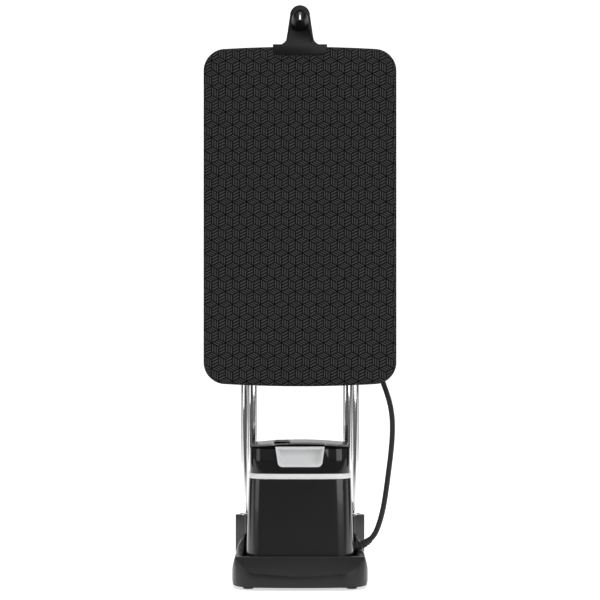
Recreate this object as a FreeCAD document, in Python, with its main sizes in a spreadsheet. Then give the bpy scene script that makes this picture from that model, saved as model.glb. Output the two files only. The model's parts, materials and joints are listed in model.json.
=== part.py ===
# Upright garment steamer with a vertical ironing board on a twin-pole stand.
# Millimetres. Origin at the centre of the base on the floor, +Z up, the board's face towards -Y.
import FreeCAD, Part
import math
import os
import re
import Sketcher

V = FreeCAD.Vector

SIZES = {
    # overall
    "board_width": 402, "board_height": 708, "board_bottom": 400, "board_corner": 42,
    "board_crown": 7.5, "base_half_width": 137, "base_half_depth": 165,
    # board stack, front to back
    "board_face": -6, "cover_wall": 1, "foam_thick": 10, "pan_depth": 15, "pan_wall": 3,
    "hem_width": 26,
    # base shell
    "ground_gap": 6, "skirt_top": 29, "front_rim": 65, "rim_depth": 27, "shoulder_top": 92,
    "shoulder_inset": 25, "foot_inset": 3, "low_rim_end": -35, "high_rim_start": 28,
    "base_corner": 58, "shell_wall": 3, "well_floor": 45, "front_bow": 9,
    # poles
    "rear_pole_x": 114.4, "rear_pole_y": 78, "rear_pole_r": 11, "rear_pole_top": 752,
    "front_pole_x": 100.8, "front_pole_y": 55, "front_pole_r": 10, "front_pole_top": 790,
    "front_pole_foot": 50, "tube_wall": 1.2, "running": 0.05, "socket_top": 124,
    "socket_foot_r": 22.5, "socket_front_r": 16, "barrel_wall": 7,
    # crossheads
    "lower_head": 415, "upper_head": 700, "head_height": 50, "web_front": 30, "web_back": 46,
    # tilt hinge
    "hinge_y": 45, "hinge_z": 800, "axle_r": 5, "lug_half": 52, "lug_thick": 10, "ear_thick": 6,
    "side_gap": 0.6, "bracket_half": 66, "bracket_reach": 60, "pin_reach": 14,
    "pin_r": 2.5, "lever_x": 26, "lever_rise": 24, "bridge_low": 764,
    # housing and tank
    "housing_top": 219, "housing_top_half": 104, "housing_foot_half": 109, "housing_front": -131,
    "housing_back": 28, "housing_lean": 5, "housing_bow": 6, "housing_corner": 32,
    "housing_rear_corner": 16, "housing_wall": 2.6, "ring_height": 10.5, "ring_step": 1,
    "tank_inset": 2.5, "tank_top": 282.5, "tank_crown": 5.5, "tank_wall": 2.4, "lid_thick": 3,
    "tank_clear": 0.4, "deck_level": 205, "deck_thick": 4,
    "dish_half": 50, "dish_low_half": 45, "dish_bottom": 243, "dish_depth": 17, "dish_wall": 1.8,
    # controls
    "button_r": 8.5, "button_y": -40, "button_z": 155,
    # steam head, parked nose down on its rest
    "head_x": -15, "head_half": 50, "sole_front": 53.5, "sole_thick": 5, "nose_z": 405,
    "heel_z": 600, "body_depth": 40, "grip_back": 155, "grip_thick": 22, "grip_half": 14,
    "boot_y": 140, "boot_top": 635,
    # wheels and feet
    "wheel_r": 18, "wheel_width": 14, "wheel_x": 98, "wheel_y": 140, "wheel_z": 20,
    "wheel_axle_r": 3, "foot_r": 11, "foot_x": 104, "foot_front_y": -128, "foot_back_y": 104,
    # hose
    "inlet_x": -60, "inlet_z": 106, "hose_r": 5.5, "coil_x": 45, "coil_z": 680, "coil_r": 60,
        "coil_front": 98.5,
    "coil_back": 145.5, "hose_exit_y": -50, "hose_exit_z": 73,
    "hook_half": 56.7, "hook_r": 20.8, "hook_rise": 65.5, "boss_r": 13.8, "boss_reach": 40, "peg_r": 6.5,
}

doc = FreeCAD.newDocument("garment_steamer")
sheet = doc.addObject("Spreadsheet::Sheet", "dims")
for row, (alias, number) in enumerate(SIZES.items(), start=1):
    sheet.set("A%d" % row, alias)
    sheet.set("B%d" % row, str(number))
    sheet.setAlias("B%d" % row, alias)
doc.recompute()

NODES = []


def bound(text):
    """The expression with each size's name given its sheet."""
    return re.sub(r"\b[a-z]\w*", lambda m: "dims." + m.group() if m.group() in SIZES else m.group(),
        str(text))


def size(text):
    return float(sheet.evalExpression(bound(text)))


def bind(thing, **expressions):
    for path, text in expressions.items():
        thing.setExpression(path.replace("__", "."), bound(text))
    return thing


def node(thing, label):
    """Marks a finished sub-part; its label names its file."""
    thing.Label = label
    NODES.append(thing)
    return thing


# ---------------------------------------------------------------- sketches and bodies

PLANES = {"XY": "XY_Plane", "XZ": "XZ_Plane", "YZ": "YZ_Plane"}


def new_body(label):
    return node(doc.addObject("PartDesign::Body", label), label)


def pin_point(sketch, geometry, position, x, y, bindings):
    for kind, text in (("DistanceX", x), ("DistanceY", y)):
        number = sketch.addConstraint(Sketcher.Constraint(kind, -1, 1, geometry, position, size(text)))
        bindings.append((number, text))


def draw_circle(sketch, loop, bindings):
    x, y, radius = loop[1:]
    circle = Part.Circle(V(size(x), size(y), 0), V(0, 0, 1), size(radius))
    geometry = sketch.addGeometry(circle)
    pin_point(sketch, geometry, 3, x, y, bindings)
    number = sketch.addConstraint(Sketcher.Constraint("Radius", geometry, size(radius)))
    bindings.append((number, radius))


def draw_outline(sketch, loop, bindings):
    """A closed outline; a corner (x, y, via_x, via_y) starts an arc through its via point."""
    ends = []
    for here, there in zip(loop, loop[1:] + loop[:1]):
        start = V(size(here[0]), size(here[1]), 0)
        end = V(size(there[0]), size(there[1]), 0)
        if len(here) == 2:
            geometry = sketch.addGeometry(Part.LineSegment(start, end))
            ends.append((geometry, 1, 2))
            continue
        via = V(size(here[2]), size(here[3]), 0)
        geometry = sketch.addGeometry(Part.ArcOfCircle(start, via, end))
        counterclockwise = (via - start).cross(end - via).z > 0
        ends.append((geometry, 1, 2) if counterclockwise else (geometry, 2, 1))
        mark = sketch.addGeometry(Part.Point(via), True)
        pin_point(sketch, mark, 1, here[2], here[3], bindings)
        sketch.addConstraint(Sketcher.Constraint("PointOnObject", mark, 1, geometry))
    for (first, _, tail), (second, head, _) in zip(ends, ends[1:] + ends[:1]):
        sketch.addConstraint(Sketcher.Constraint("Coincident", first, tail, second, head))
    for (geometry, head, _), here in zip(ends, loop):
        pin_point(sketch, geometry, head, here[0], here[1], bindings)


def add_sketch(body, name, plane, level, loops):
    """A sketch on one of the body's planes, at a height measured along the plane's own normal."""
    sketch = body.newObject("Sketcher::SketchObject", name)
    support = [f for f in body.Origin.OriginFeatures if f.Role == PLANES[plane]][0]
    sketch.AttachmentSupport = [(support, "")]
    sketch.MapMode = "FlatFace"
    sketch.setExpression("AttachmentOffset.Base.z", bound(level))
    bindings = []
    for loop in loops:
        if loop[0] == "circle":
            draw_circle(sketch, loop, bindings)
        else:
            draw_outline(sketch, loop, bindings)
    for number, text in bindings:
        sketch.setExpression("Constraints[%d]" % number, bound(text))
    return sketch


def check(feature, cut, before):
    """Stops at a feature that failed or that left its body as it was."""
    doc.recompute()
    if "Invalid" in feature.State or feature.Shape.isNull() or not feature.Shape.isValid():
        raise RuntimeError("%s failed" % feature.Label)
    after = feature.Shape.Volume
    if (cut and after > before - 0.01) or (not cut and after < before + 0.01):
        raise RuntimeError("%s changed nothing" % feature.Label)


def prism(body, name, plane, low, high, loops, cut=False):
    """Pads or pockets the loops from low to high along the global axis that the plane faces."""
    level = "-(%s)" % high if plane == "XZ" else low
    sketch = add_sketch(body, name + "_sketch", plane, level, loops)
    before = body.Tip.Shape.Volume if body.Tip else 0
    feature = body.newObject("PartDesign::Pocket" if cut else "PartDesign::Pad", name)
    feature.Profile = sketch
    feature.setExpression("Length", bound("(%s) - (%s)" % (high, low)))
    feature.Reversed = cut
    sketch.Visibility = False
    check(feature, cut, before)
    return feature


def loft(body, name, plane, low, low_loops, high, high_loops, cut=False):
    """A loft from one section to another, levels along the global axis that the plane faces."""
    sign = -1 if plane == "XZ" else 1
    before = body.Tip.Shape.Volume if body.Tip else 0
    first = add_sketch(body, name + "_low", plane, "%d * (%s)" % (sign, low), low_loops)
    second = add_sketch(body, name + "_high", plane, "%d * (%s)" % (sign, high), high_loops)
    kind = "PartDesign::SubtractiveLoft" if cut else "PartDesign::AdditiveLoft"
    feature = body.newObject(kind, name)
    feature.Profile = first
    feature.Sections = [second]
    feature.Ruled = True
    check(feature, cut, before)
    return feature


def round_edges(body, name, radius, chosen):
    doc.recompute()
    base = body.Tip
    names = ["Edge%d" % (i + 1) for i, edge in enumerate(base.Shape.Edges) if chosen(edge)]
    if not names:
        raise RuntimeError("%s found no edges" % name)
    feature = body.newObject("PartDesign::Fillet", name)
    feature.Base = (base, names)
    feature.setExpression("Radius", bound(radius))
    doc.recompute()
    return feature


def along(axis, *tests):
    """Chooses straight edges that run mostly along an axis and pass each test on their middle."""
    def chosen(edge):
        run = edge.Vertexes[-1].Point - edge.Vertexes[0].Point
        if run.Length == 0 or edge.Length > 1.0001 * run.Length or abs(getattr(run, axis)) < 0.9 * run.Length:
            return False
        return all(test(edge.CenterOfMass) for test in tests)
    return chosen


def rectangle(x0, x1, y0, y1):
    return [(x0, y0), (x1, y0), (x1, y1), (x0, y1)]


# ---------------------------------------------------------------- primitives and booleans

TURNS = {
    "x": FreeCAD.Rotation(V(0, 1, 0), 90),
    "y": FreeCAD.Rotation(V(1, 0, 0), -90),
    "z": FreeCAD.Rotation(),
}


def place(thing, x, y, z):
    return bind(thing, Placement__Base__x=x, Placement__Base__y=y, Placement__Base__z=z)


def box(name, x0, x1, y0, y1, z0, z1):
    thing = doc.addObject("Part::Box", name)
    bind(thing, Length="(%s) - (%s)" % (x1, x0), Width="(%s) - (%s)" % (y1, y0))
    bind(thing, Height="(%s) - (%s)" % (z1, z0))
    return place(thing, x0, y0, z0)


def rod(name, axis, x, y, z, length, radius, end_radius=None):
    """A cylinder or cone from the given point along a global axis."""
    thing = doc.addObject("Part::Cone" if end_radius else "Part::Cylinder", name)
    thing.Placement = FreeCAD.Placement(V(), TURNS[axis])
    if end_radius:
        bind(thing, Radius1=radius, Radius2=end_radius, Height=length)
    else:
        bind(thing, Radius=radius, Height=length)
    return place(thing, x, y, z)


def fused(name, pieces):
    thing = doc.addObject("Part::MultiFuse", name)
    thing.Shapes = pieces
    thing.Refine = True
    return thing


def cut_away(name, base, tools):
    thing = doc.addObject("Part::Cut", name)
    thing.Base = base
    thing.Tool = tools[0] if len(tools) == 1 else fused(name + "_tools", tools)
    return thing


def tube(name, axis, x, y, z, length, radius, wall):
    outer = rod(name + "_outer", axis, x, y, z, length, radius)
    inner = rod(name + "_bore", axis, x, y, z, length, "(%s) - (%s)" % (radius, wall))
    return cut_away(name, outer, [inner])


SIDES = {"left": -1, "right": 1}


# ---------------------------------------------------------------- base

def base_section(inset, low):
    """The base seen from the front: upright skirt, then two arcs in to the shoulder's crest."""
    half = "(base_half_width - %s)" % inset
    top = "(shoulder_top - %s)" % inset
    outline = [
        ("-%s + foot_inset" % half, low), ("%s - foot_inset" % half, low), (half, "%s + 10" % low),
        (half, "skirt_top - 5", "%s - 3" % half, "(skirt_top + %s) / 2 - 8" % top),
        ("%s - shoulder_inset / 2" % half, "%s - 16" % top,
         "%s - shoulder_inset * 0.75" % half, "%s - 7" % top),
        ("%s - shoulder_inset" % half, top), ("-%s + shoulder_inset" % half, top,
         "-%s + shoulder_inset * 0.75" % half, "%s - 7" % top),
        ("-%s + shoulder_inset / 2" % half, "%s - 16" % top,
         "-%s + 3" % half, "(skirt_top + %s) / 2 - 8" % top),
        ("-%s" % half, "skirt_top - 5"), ("-%s" % half, "%s + 10" % low),
    ]
    return outline


def base_profile():
    """The base seen from the side: low rim in front, rising to the pole sockets behind."""
    front = "-base_half_depth"
    middle = "(low_rim_end + high_rim_start) / 2"
    half_rise = "(front_rim + shoulder_top) / 2"
    return [
        (front, "ground_gap"), ("base_half_depth", "ground_gap"),
        ("base_half_depth", "shoulder_top - 24",
         "base_half_depth - 5", "shoulder_top - 7"),
        ("base_half_depth - 22", "shoulder_top"),
        ("high_rim_start", "shoulder_top", "high_rim_start - 17", "shoulder_top - 3.5"),
        (middle, half_rise, "low_rim_end + 17", "front_rim + 3.5"),
        ("low_rim_end", "front_rim"), ("rim_depth - base_half_depth", "front_rim"),
        (front, "skirt_top"),
    ]


def plan_outline(half, front, back, bow):
    """A tray outline with a bowed front edge."""
    return [("-(%s)" % half, "%s + %s" % (front, bow), "0", front),
            (half, "%s + %s" % (front, bow)), (half, back), ("-(%s)" % half, back)]


def make_base():
    shell = new_body("base_shell")
    prism(shell, "shell_block", "XZ", "-base_half_depth", "base_half_depth", [base_section("0",
        "ground_gap")])
    frame = rectangle("-2 * base_half_depth", "2 * base_half_depth", "-50", "2 * shoulder_top")
    prism(shell, "shell_profile", "YZ", "-2 * base_half_width", "2 * base_half_width",
          [frame, base_profile()], cut=True)
    frame = rectangle("-2 * base_half_width", "2 * base_half_width",
                      "-2 * base_half_depth", "2 * base_half_depth")
    plan = add_plan(shell, frame)
    well = plan_outline("housing_foot_half + 7", "housing_front - 5", "housing_back + 3", "housing_bow")
    prism(shell, "housing_well", "XY", "well_floor", "2 * shoulder_top", [well], cut=True)
    inner = plan_outline("base_half_width - 14", "-base_half_depth + 12", "base_half_depth - 8", "front_bow")
    prism(shell, "underside", "XY", "0", "well_floor - shell_wall", [inner], cut=True)
    rear_bay = rectangle("-rear_pole_x + 36", "rear_pole_x - 36", "housing_back + 8", "base_half_depth - 12")
    prism(shell, "rear_bay", "XY", "well_floor - shell_wall - 1", "shoulder_top - shell_wall", [rear_bay],
          cut=True)
    seats = [socket_plan(side, "0.2") for side in SIDES.values()]
    for side, loops in zip(SIDES, seats):
        prism(shell, "socket_seat_" + side, "XY", "well_floor", "2 * shoulder_top", [loops], cut=True)
    bosses = [("circle", x, y, "7") for x, y in screw_places()]
    for number, boss in enumerate(bosses, start=1):
        prism(shell, "boss_%d" % number, "XY", "ground_gap + 4", "well_floor - 1", [boss])
    for side, sign in SIDES.items():
        first = "%d * wheel_x" % sign
        bay = rectangle(first + " - wheel_width / 2 - 2", first + " + wheel_width / 2 + 2",
                        "wheel_y - wheel_r - 2", "wheel_y + wheel_r + 2")
        prism(shell, "wheel_bay_" + side, "XY", "0", "well_floor - shell_wall", [bay], cut=True)
        for number, offset in enumerate((" - wheel_width / 2 - 9", " + wheel_width / 2 + 2")):
            prism(shell, "axle_cheek_%s_%d" % (side, number), "YZ", first + offset, first + offset + " + 7",
                  [rectangle("wheel_y - 9", "wheel_y + 9", "wheel_z - 9", "well_floor - 1")])
    prism(shell, "axle_hole", "YZ", "-wheel_x - 20", "wheel_x + 20",
          [("circle", "wheel_y", "wheel_z", "wheel_axle_r")], cut=True)
    return plan


def add_plan(shell, frame):
    """Trims the base to its plan: bowed front and rear, rounded corners."""
    half, depth, corner = "base_half_width", "base_half_depth", "base_corner"
    plan = [
        ("-%s" % half, "-%s + %s" % (depth, corner),
         "-%s + %s * 0.26" % (half, corner), "-%s + %s * 0.33" % (depth, corner)),
        ("-%s + %s" % (half, corner), "-%s + 4" % depth, "0", "-%s" % depth),
        ("%s - %s" % (half, corner), "-%s + 4" % depth,
         "%s - %s * 0.26" % (half, corner), "-%s + %s * 0.33" % (depth, corner)),
        (half, "-%s + %s" % (depth, corner)),
        (half, "%s - %s / 2" % (depth, corner),
         "%s - %s * 0.14" % (half, corner), "%s - %s * 0.14" % (depth, corner)),
        ("%s - %s / 2" % (half, corner), depth), ("-%s + %s / 2" % (half, corner), depth,
         "-%s + %s * 0.14" % (half, corner), "%s - %s * 0.14" % (depth, corner)),
        ("-%s" % half, "%s - %s / 2" % (depth, corner)),
    ]
    return prism(shell, "shell_plan", "XY", "-10", "2 * shoulder_top", [frame, plan], cut=True)


def screw_places():
    return [(x, y) for x in ("-82", "82") for y in ("-118", "118")]


def socket_plan(sign, gap):
    """The twin-barrel socket from above: rear barrel, front barrel, straight flanks."""
    x, y, r = "%d * rear_pole_x" % sign, "rear_pole_y", "(socket_foot_r + %s)" % gap
    fx, fy, fr = "%d * front_pole_x" % sign, "front_pole_y", "(socket_front_r + %s)" % gap
    out = str(sign)
    return [
        (x + " + %s * %s" % (out, r), y, x, y + " + " + r),
        (x + " - %s * %s" % (out, r), y),
        (fx + " - %s * %s" % (out, fr), fy, fx, fy + " - " + fr),
        (fx + " + %s * %s" % (out, fr), fy),
    ]


def make_sockets():
    for side, sign in SIDES.items():
        body = new_body("pole_socket_" + side)
        prism(body, "barrels_" + side, "XY", "well_floor", "socket_top", [socket_plan(sign, "0")])
        rear = ("circle", "%d * rear_pole_x" % sign, "rear_pole_y", "rear_pole_r")
        front = ("circle", "%d * front_pole_x" % sign, "front_pole_y", "front_pole_r + 0.5")
        prism(body, "bores_" + side, "XY", "well_floor + 3", "socket_top + 1", [rear, front], cut=True)
        round_edges(body, "rim_" + side, "1.2", lambda e: e.CenterOfMass.z > size("socket_top") - 0.01)


def make_bottom():
    plate = new_body("base_bottom_plate")
    outline = plan_outline("base_half_width - 14.5", "-base_half_depth + 12.5", "base_half_depth - 8.5",
                           "front_bow")
    prism(plate, "bottom_sheet", "XY", "ground_gap + 1", "ground_gap + 4", [outline])
    holes = [("circle", x, y, "2.2") for x, y in screw_places()]
    prism(plate, "bottom_holes", "XY", "ground_gap", "ground_gap + 5", holes, cut=True)
    for side, sign in SIDES.items():
        slot = rectangle("%d * wheel_x - wheel_width / 2 - 9.5" % sign,
                         "%d * wheel_x + wheel_width / 2 + 9.5" % sign,
                         "wheel_y - wheel_r - 4", "base_half_depth - 8")
        prism(plate, "wheel_slot_" + side, "XY", "ground_gap", "ground_gap + 5", [slot], cut=True)
    feet = []
    for x in ("-foot_x", "foot_x"):
        for y in ("foot_front_y", "foot_back_y"):
            name = "foot_%d" % (len(feet) + 1)
            feet.append(rod(name, "z", x, y, "0", "ground_gap + 1", "foot_r", "foot_r - 1.5"))
    node(compound("rubber_feet", feet), "rubber_feet")
    screws = []
    for number, (x, y) in enumerate(screw_places(), start=1):
        head = rod("screw_head_%d" % number, "z", x, y, "ground_gap - 1.5", "2.5", "4")
        shank = rod("screw_shank_%d" % number, "z", x, y, "ground_gap", "4", "2")
        screws.append(fused("screw_%d" % number, [head, shank]))
    node(compound("base_screws", screws), "base_screws")


def compound(name, pieces):
    thing = doc.addObject("Part::Compound", name)
    thing.Links = pieces
    return thing


def make_wheels():
    axle = rod("wheel_axle", "x", "-wheel_x - 16", "wheel_y", "wheel_z", "2 * wheel_x + 32", "wheel_axle_r")
    node(axle, "wheel_axle")
    for side, sign in SIDES.items():
        start = "%d * wheel_x - wheel_width / 2" % sign
        tyre = rod("tyre_" + side, "x", start, "wheel_y", "wheel_z", "wheel_width", "wheel_r")
        soft = doc.addObject("Part::Fillet", "soft_" + side)
        doc.recompute()
        soft.Base = tyre
        soft.Edges = [(i + 1, 3, 3) for i, e in enumerate(tyre.Shape.Edges) if e.Length > 10 and
                      e.Curve.TypeId.endswith("Circle")]
        tools = [rod("hub_bore_" + side, "x", start + " - 1", "wheel_y", "wheel_z", "wheel_width + 2",
                     "wheel_axle_r + running")]
        for number in range(6):
            angle = "%d" % (60 * number)
            tools.append(rod("spoke_gap_%s_%d" % (side, number), "x", start + " - 1",
                             "wheel_y + 10 * cos(%s)" % angle, "wheel_z + 10 * sin(%s)" % angle, "5", "3.2"))
        node(cut_away("wheel_" + side, soft, tools), "wheel_" + side)


# ---------------------------------------------------------------- poles and crossheads

def make_poles():
    for side, sign in SIDES.items():
        rear = tube("rear_pole_" + side, "z", "%d * rear_pole_x" % sign, "rear_pole_y", "well_floor + 3",
                    "rear_pole_top - well_floor - 3", "rear_pole_r", "tube_wall")
        node(rear, "rear_pole_" + side)
        front = tube("front_pole_" + side, "z", "%d * front_pole_x" % sign, "front_pole_y",
                     "front_pole_foot", "front_pole_top - front_pole_foot", "front_pole_r", "tube_wall")
        node(front, "front_pole_" + side)


def make_crosshead(label, level):
    low, high = level, level + " + head_height"
    body = new_body(label)
    web = rectangle("-front_pole_x", "front_pole_x", "web_front", "web_back")
    prism(body, label + "_web", "XY", low + " + 6", high + " - 6", [web])
    for side, sign in SIDES.items():
        rear = ("circle", "%d * rear_pole_x" % sign, "rear_pole_y", "rear_pole_r + barrel_wall")
        front = ("circle", "%d * front_pole_x" % sign, "front_pole_y", "front_pole_r + barrel_wall")
        prism(body, "%s_front_%s" % (label, side), "XY", low, high, [front])
        prism(body, "%s_rear_%s" % (label, side), "XY", low, high, [rear])
    for side, sign in SIDES.items():
        rear = ("circle", "%d * rear_pole_x" % sign, "rear_pole_y", "rear_pole_r")
        front = ("circle", "%d * front_pole_x" % sign, "front_pole_y", "front_pole_r + running")
        prism(body, "%s_bores_%s" % (label, side), "XY", low + " - 1", high + " + 1", [rear, front], cut=True)
    return body


def make_crossheads():
    make_crosshead("lower_crosshead", "lower_head")
    upper = make_crosshead("upper_crosshead", "upper_head")
    middle = "upper_head + head_height / 2"
    way = rectangle("lever_x - 18", "lever_x + 46", "web_front - 1", "web_front + 10")
    prism(upper, "lever_way", "XY", "upper_head", "upper_head + head_height", [way], cut=True)
    for side, sign in SIDES.items():
        start = "rear_pole_x + rear_pole_r + barrel_wall - 3"
        low, high = (start, start + " + 13") if sign > 0 else ("-(%s + 13)" % start, "-(%s)" % start)
        ear = rectangle(low, high, "rear_pole_y - 7", "rear_pole_y + 7")
        for number, (z0, z1) in enumerate(((" - 15", " - 10"), (" + 10", " + 15"))):
            prism(upper, "lever_ear_%s_%d" % (side, number), "XY", middle + z0, middle + z1, [ear])
        x = "%d * (rear_pole_x + rear_pole_r + barrel_wall + 6)" % sign
        prism(upper, "lever_hole_" + side, "XY", middle + " - 16", middle + " + 16",
              [("circle", x, "rear_pole_y", "2")], cut=True)
        lever = new_body("clamp_lever_" + side)
        reach = "%d * 12" % sign
        outline = [("%s - 5" % x if sign > 0 else "%s + 5" % x, "rear_pole_y - 1", x, "rear_pole_y - 6"),
                   ("%s + %d * 5" % (x, sign), "rear_pole_y - 1"),
                   ("%s + %s" % (x, reach), "rear_pole_y + 44",
                    "%s + %d * 7" % (x, sign), "rear_pole_y + 47"),
                   ("%s + %d * 4" % (x, sign), "rear_pole_y + 44")]
        prism(lever, "lever_arm_" + side, "XY", middle + " - 9.5", middle + " + 9.5", [outline])
        prism(lever, "lever_eye_" + side, "XY", middle + " - 10", middle + " + 10",
              [("circle", x, "rear_pole_y", "2 + running")], cut=True)
        pin = rod("lever_pin_" + side, "z", x, "rear_pole_y", middle + " - 15", "30", "2")
        node(pin, "lever_pin_" + side)


def make_rest():
    body = new_body("iron_rest")
    left, right = "head_x - head_half - 10", "head_x + head_half + 10"
    prism(body, "rest_plate", "XZ", "web_back", "web_back + 4",
          [rectangle(left, right, "lower_head + 6", "heel_z - 10")])
    prism(body, "rest_shelf", "XZ", "web_back + 4", "sole_front + sole_thick + 14",
          [rectangle("head_x - 34", "head_x + 34", "nose_z - 4", "nose_z - 0.5")])
    prism(body, "rest_drop", "XZ", "web_back", "web_back + 4",
          [rectangle("head_x - 34", "head_x + 34", "nose_z - 4", "lower_head + 7")])
    prism(body, "rest_window", "XZ", "web_back - 1", "web_back + 5",
          [rectangle("head_x - 32", "head_x + 32", "lower_head + 70", "heel_z - 60")], cut=True)
    pads = []
    for number, (x, z) in enumerate((("-40", "heel_z - 40"), ("40", "heel_z - 40"), ("-28",
        "lower_head + 40"),
                                     ("28", "lower_head + 40")), start=1):
        pads.append(box("pad_%d" % number, "head_x + %s - 8" % x, "head_x + %s + 8" % x, "web_back + 4",
                        "sole_front - 0.5", z + " - 12", z + " + 12"))
    node(compound("rest_pads", pads), "rest_pads")
    peg_z = "coil_z + coil_r - hose_r - peg_r"
    peg = rod("peg_stem", "y", "coil_x", "web_back", peg_z, "coil_back + 3 - web_back", "peg_r")
    tip = rod("peg_tip", "y", "coil_x", "coil_back + 2.5", peg_z, "4", "peg_r + 4")
    plate = box("peg_plate", "coil_x - 15", "coil_x + 15", "web_back", "web_back + 4",
                "upper_head + 8", "upper_head + head_height - 8")
    node(fused("hose_hook", [peg, tip, plate]), "hose_hook")


# ---------------------------------------------------------------- housing

def housing_plan(half, front, back, nose, tail):
    """The housing from above: bowed front, rounded corners, straight sides and rear."""
    side_front = "%s + housing_bow + %s" % (front, nose)
    bend, tail_bend = "%s * 0.293" % nose, "%s * 0.293" % tail
    return [
        ("-%s" % half, side_front, "-%s + %s" % (half, bend), "%s + housing_bow * 0.75 + %s" % (front, bend)),
        ("-%s + %s" % (half, nose), "%s + housing_bow / 2" % front, "0", front),
        ("%s - %s" % (half, nose), "%s + housing_bow / 2" % front,
         "%s - %s" % (half, bend), "%s + housing_bow * 0.75 + %s" % (front, bend)),
        (half, side_front),
        (half, "%s - %s" % (back, tail), "%s - %s" % (half, tail_bend), "%s - %s" % (back, tail_bend)),
        ("%s - %s" % (half, tail), back),
        ("-%s + %s" % (half, tail), back, "-%s + %s" % (half, tail_bend), "%s - %s" % (back, tail_bend)),
        ("-%s" % half, "%s - %s" % (back, tail)),
    ]


def make_housing():
    body = new_body("housing_shell")

    def section(half, front, wall):
        return housing_plan("(%s - %s)" % (half, wall), "(%s + %s)" % (front, wall),
            "(housing_back - %s)" % wall,
                            "(housing_corner - %s)" % wall, "(housing_rear_corner - %s)" % wall)

    for name, wall, level in (("housing_block", "0", "well_floor"),
                              ("housing_hollow", "housing_wall", "well_floor + housing_wall")):
        low = section("housing_foot_half", "housing_front", wall)
        high = section("housing_top_half", "(housing_front + housing_lean)", wall)
        loft(body, name, "XY", level, [low], "housing_top", [high], cut=(wall != "0"))
    opening = ("circle", "button_y", "button_z", "button_r + 2.4")
    prism(body, "button_opening", "YZ", "80", "130", [opening], cut=True)
    prism(body, "hose_opening", "YZ", "80", "130", [("circle", "hose_exit_y", "hose_exit_z", "9")], cut=True)
    inlet = ("circle", "inlet_x", "inlet_z", "9")
    prism(body, "inlet_opening", "XZ", "housing_back - 10", "housing_back + 5", [inlet], cut=True)


def upper_block(body, name, low, high, inset, cut=False):
    """A pad or pocket with the housing's rounded plan, drawn in by an inset."""
    half = "(housing_top_half - (%s))" % inset
    front = "(housing_front + housing_lean + (%s))" % inset
    back = "(housing_back - (%s))" % inset
    nose, tail = "(housing_corner - (%s))" % inset, "(housing_rear_corner - min(%s; 10))" % inset
    return prism(body, name, "XY", low, high, [housing_plan(half, front, back, nose, tail)], cut=cut)


def make_trim():
    ring = new_body("trim_ring")
    upper_block(ring, "ring_block", "housing_top", "housing_top + ring_height", "ring_step - 1")
    upper_block(ring, "ring_opening", "housing_top - 1", "housing_top + ring_height + 1", "7", cut=True)
    deck = new_body("tank_deck")
    upper_block(deck, "deck_plate", "deck_level", "deck_level + deck_thick", "housing_wall + 0.9")
    prism(deck, "deck_seat", "XY", "deck_level - 8", "deck_level + 0.5", [("circle", "-30", "-70", "13")])
    prism(deck, "deck_valve_hole", "XY", "deck_level - 9", "deck_level + deck_thick + 1",
          [("circle", "-30", "-70", "8.5")], cut=True)


def dish_outline(inset, top):
    """The handle dish from the front: wide at the top, narrowing to rounded lower corners."""
    half, low_half = "(dish_half - %s)" % inset, "(dish_low_half - %s)" % inset
    low, corner = "(dish_bottom + %s)" % inset, "9"
    return [
        ("-%s + %s" % (low_half, corner), low), ("%s - %s" % (low_half, corner), low,
         "%s - 2.2" % low_half, "%s + 3" % low),
        ("%s + 0.7" % low_half, "%s + 10" % low), (half, top), ("-%s" % half, top),
        ("-%s - 0.7" % low_half, "%s + 10" % low, "-%s + 2.2" % low_half, "%s + 3" % low),
    ]


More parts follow.
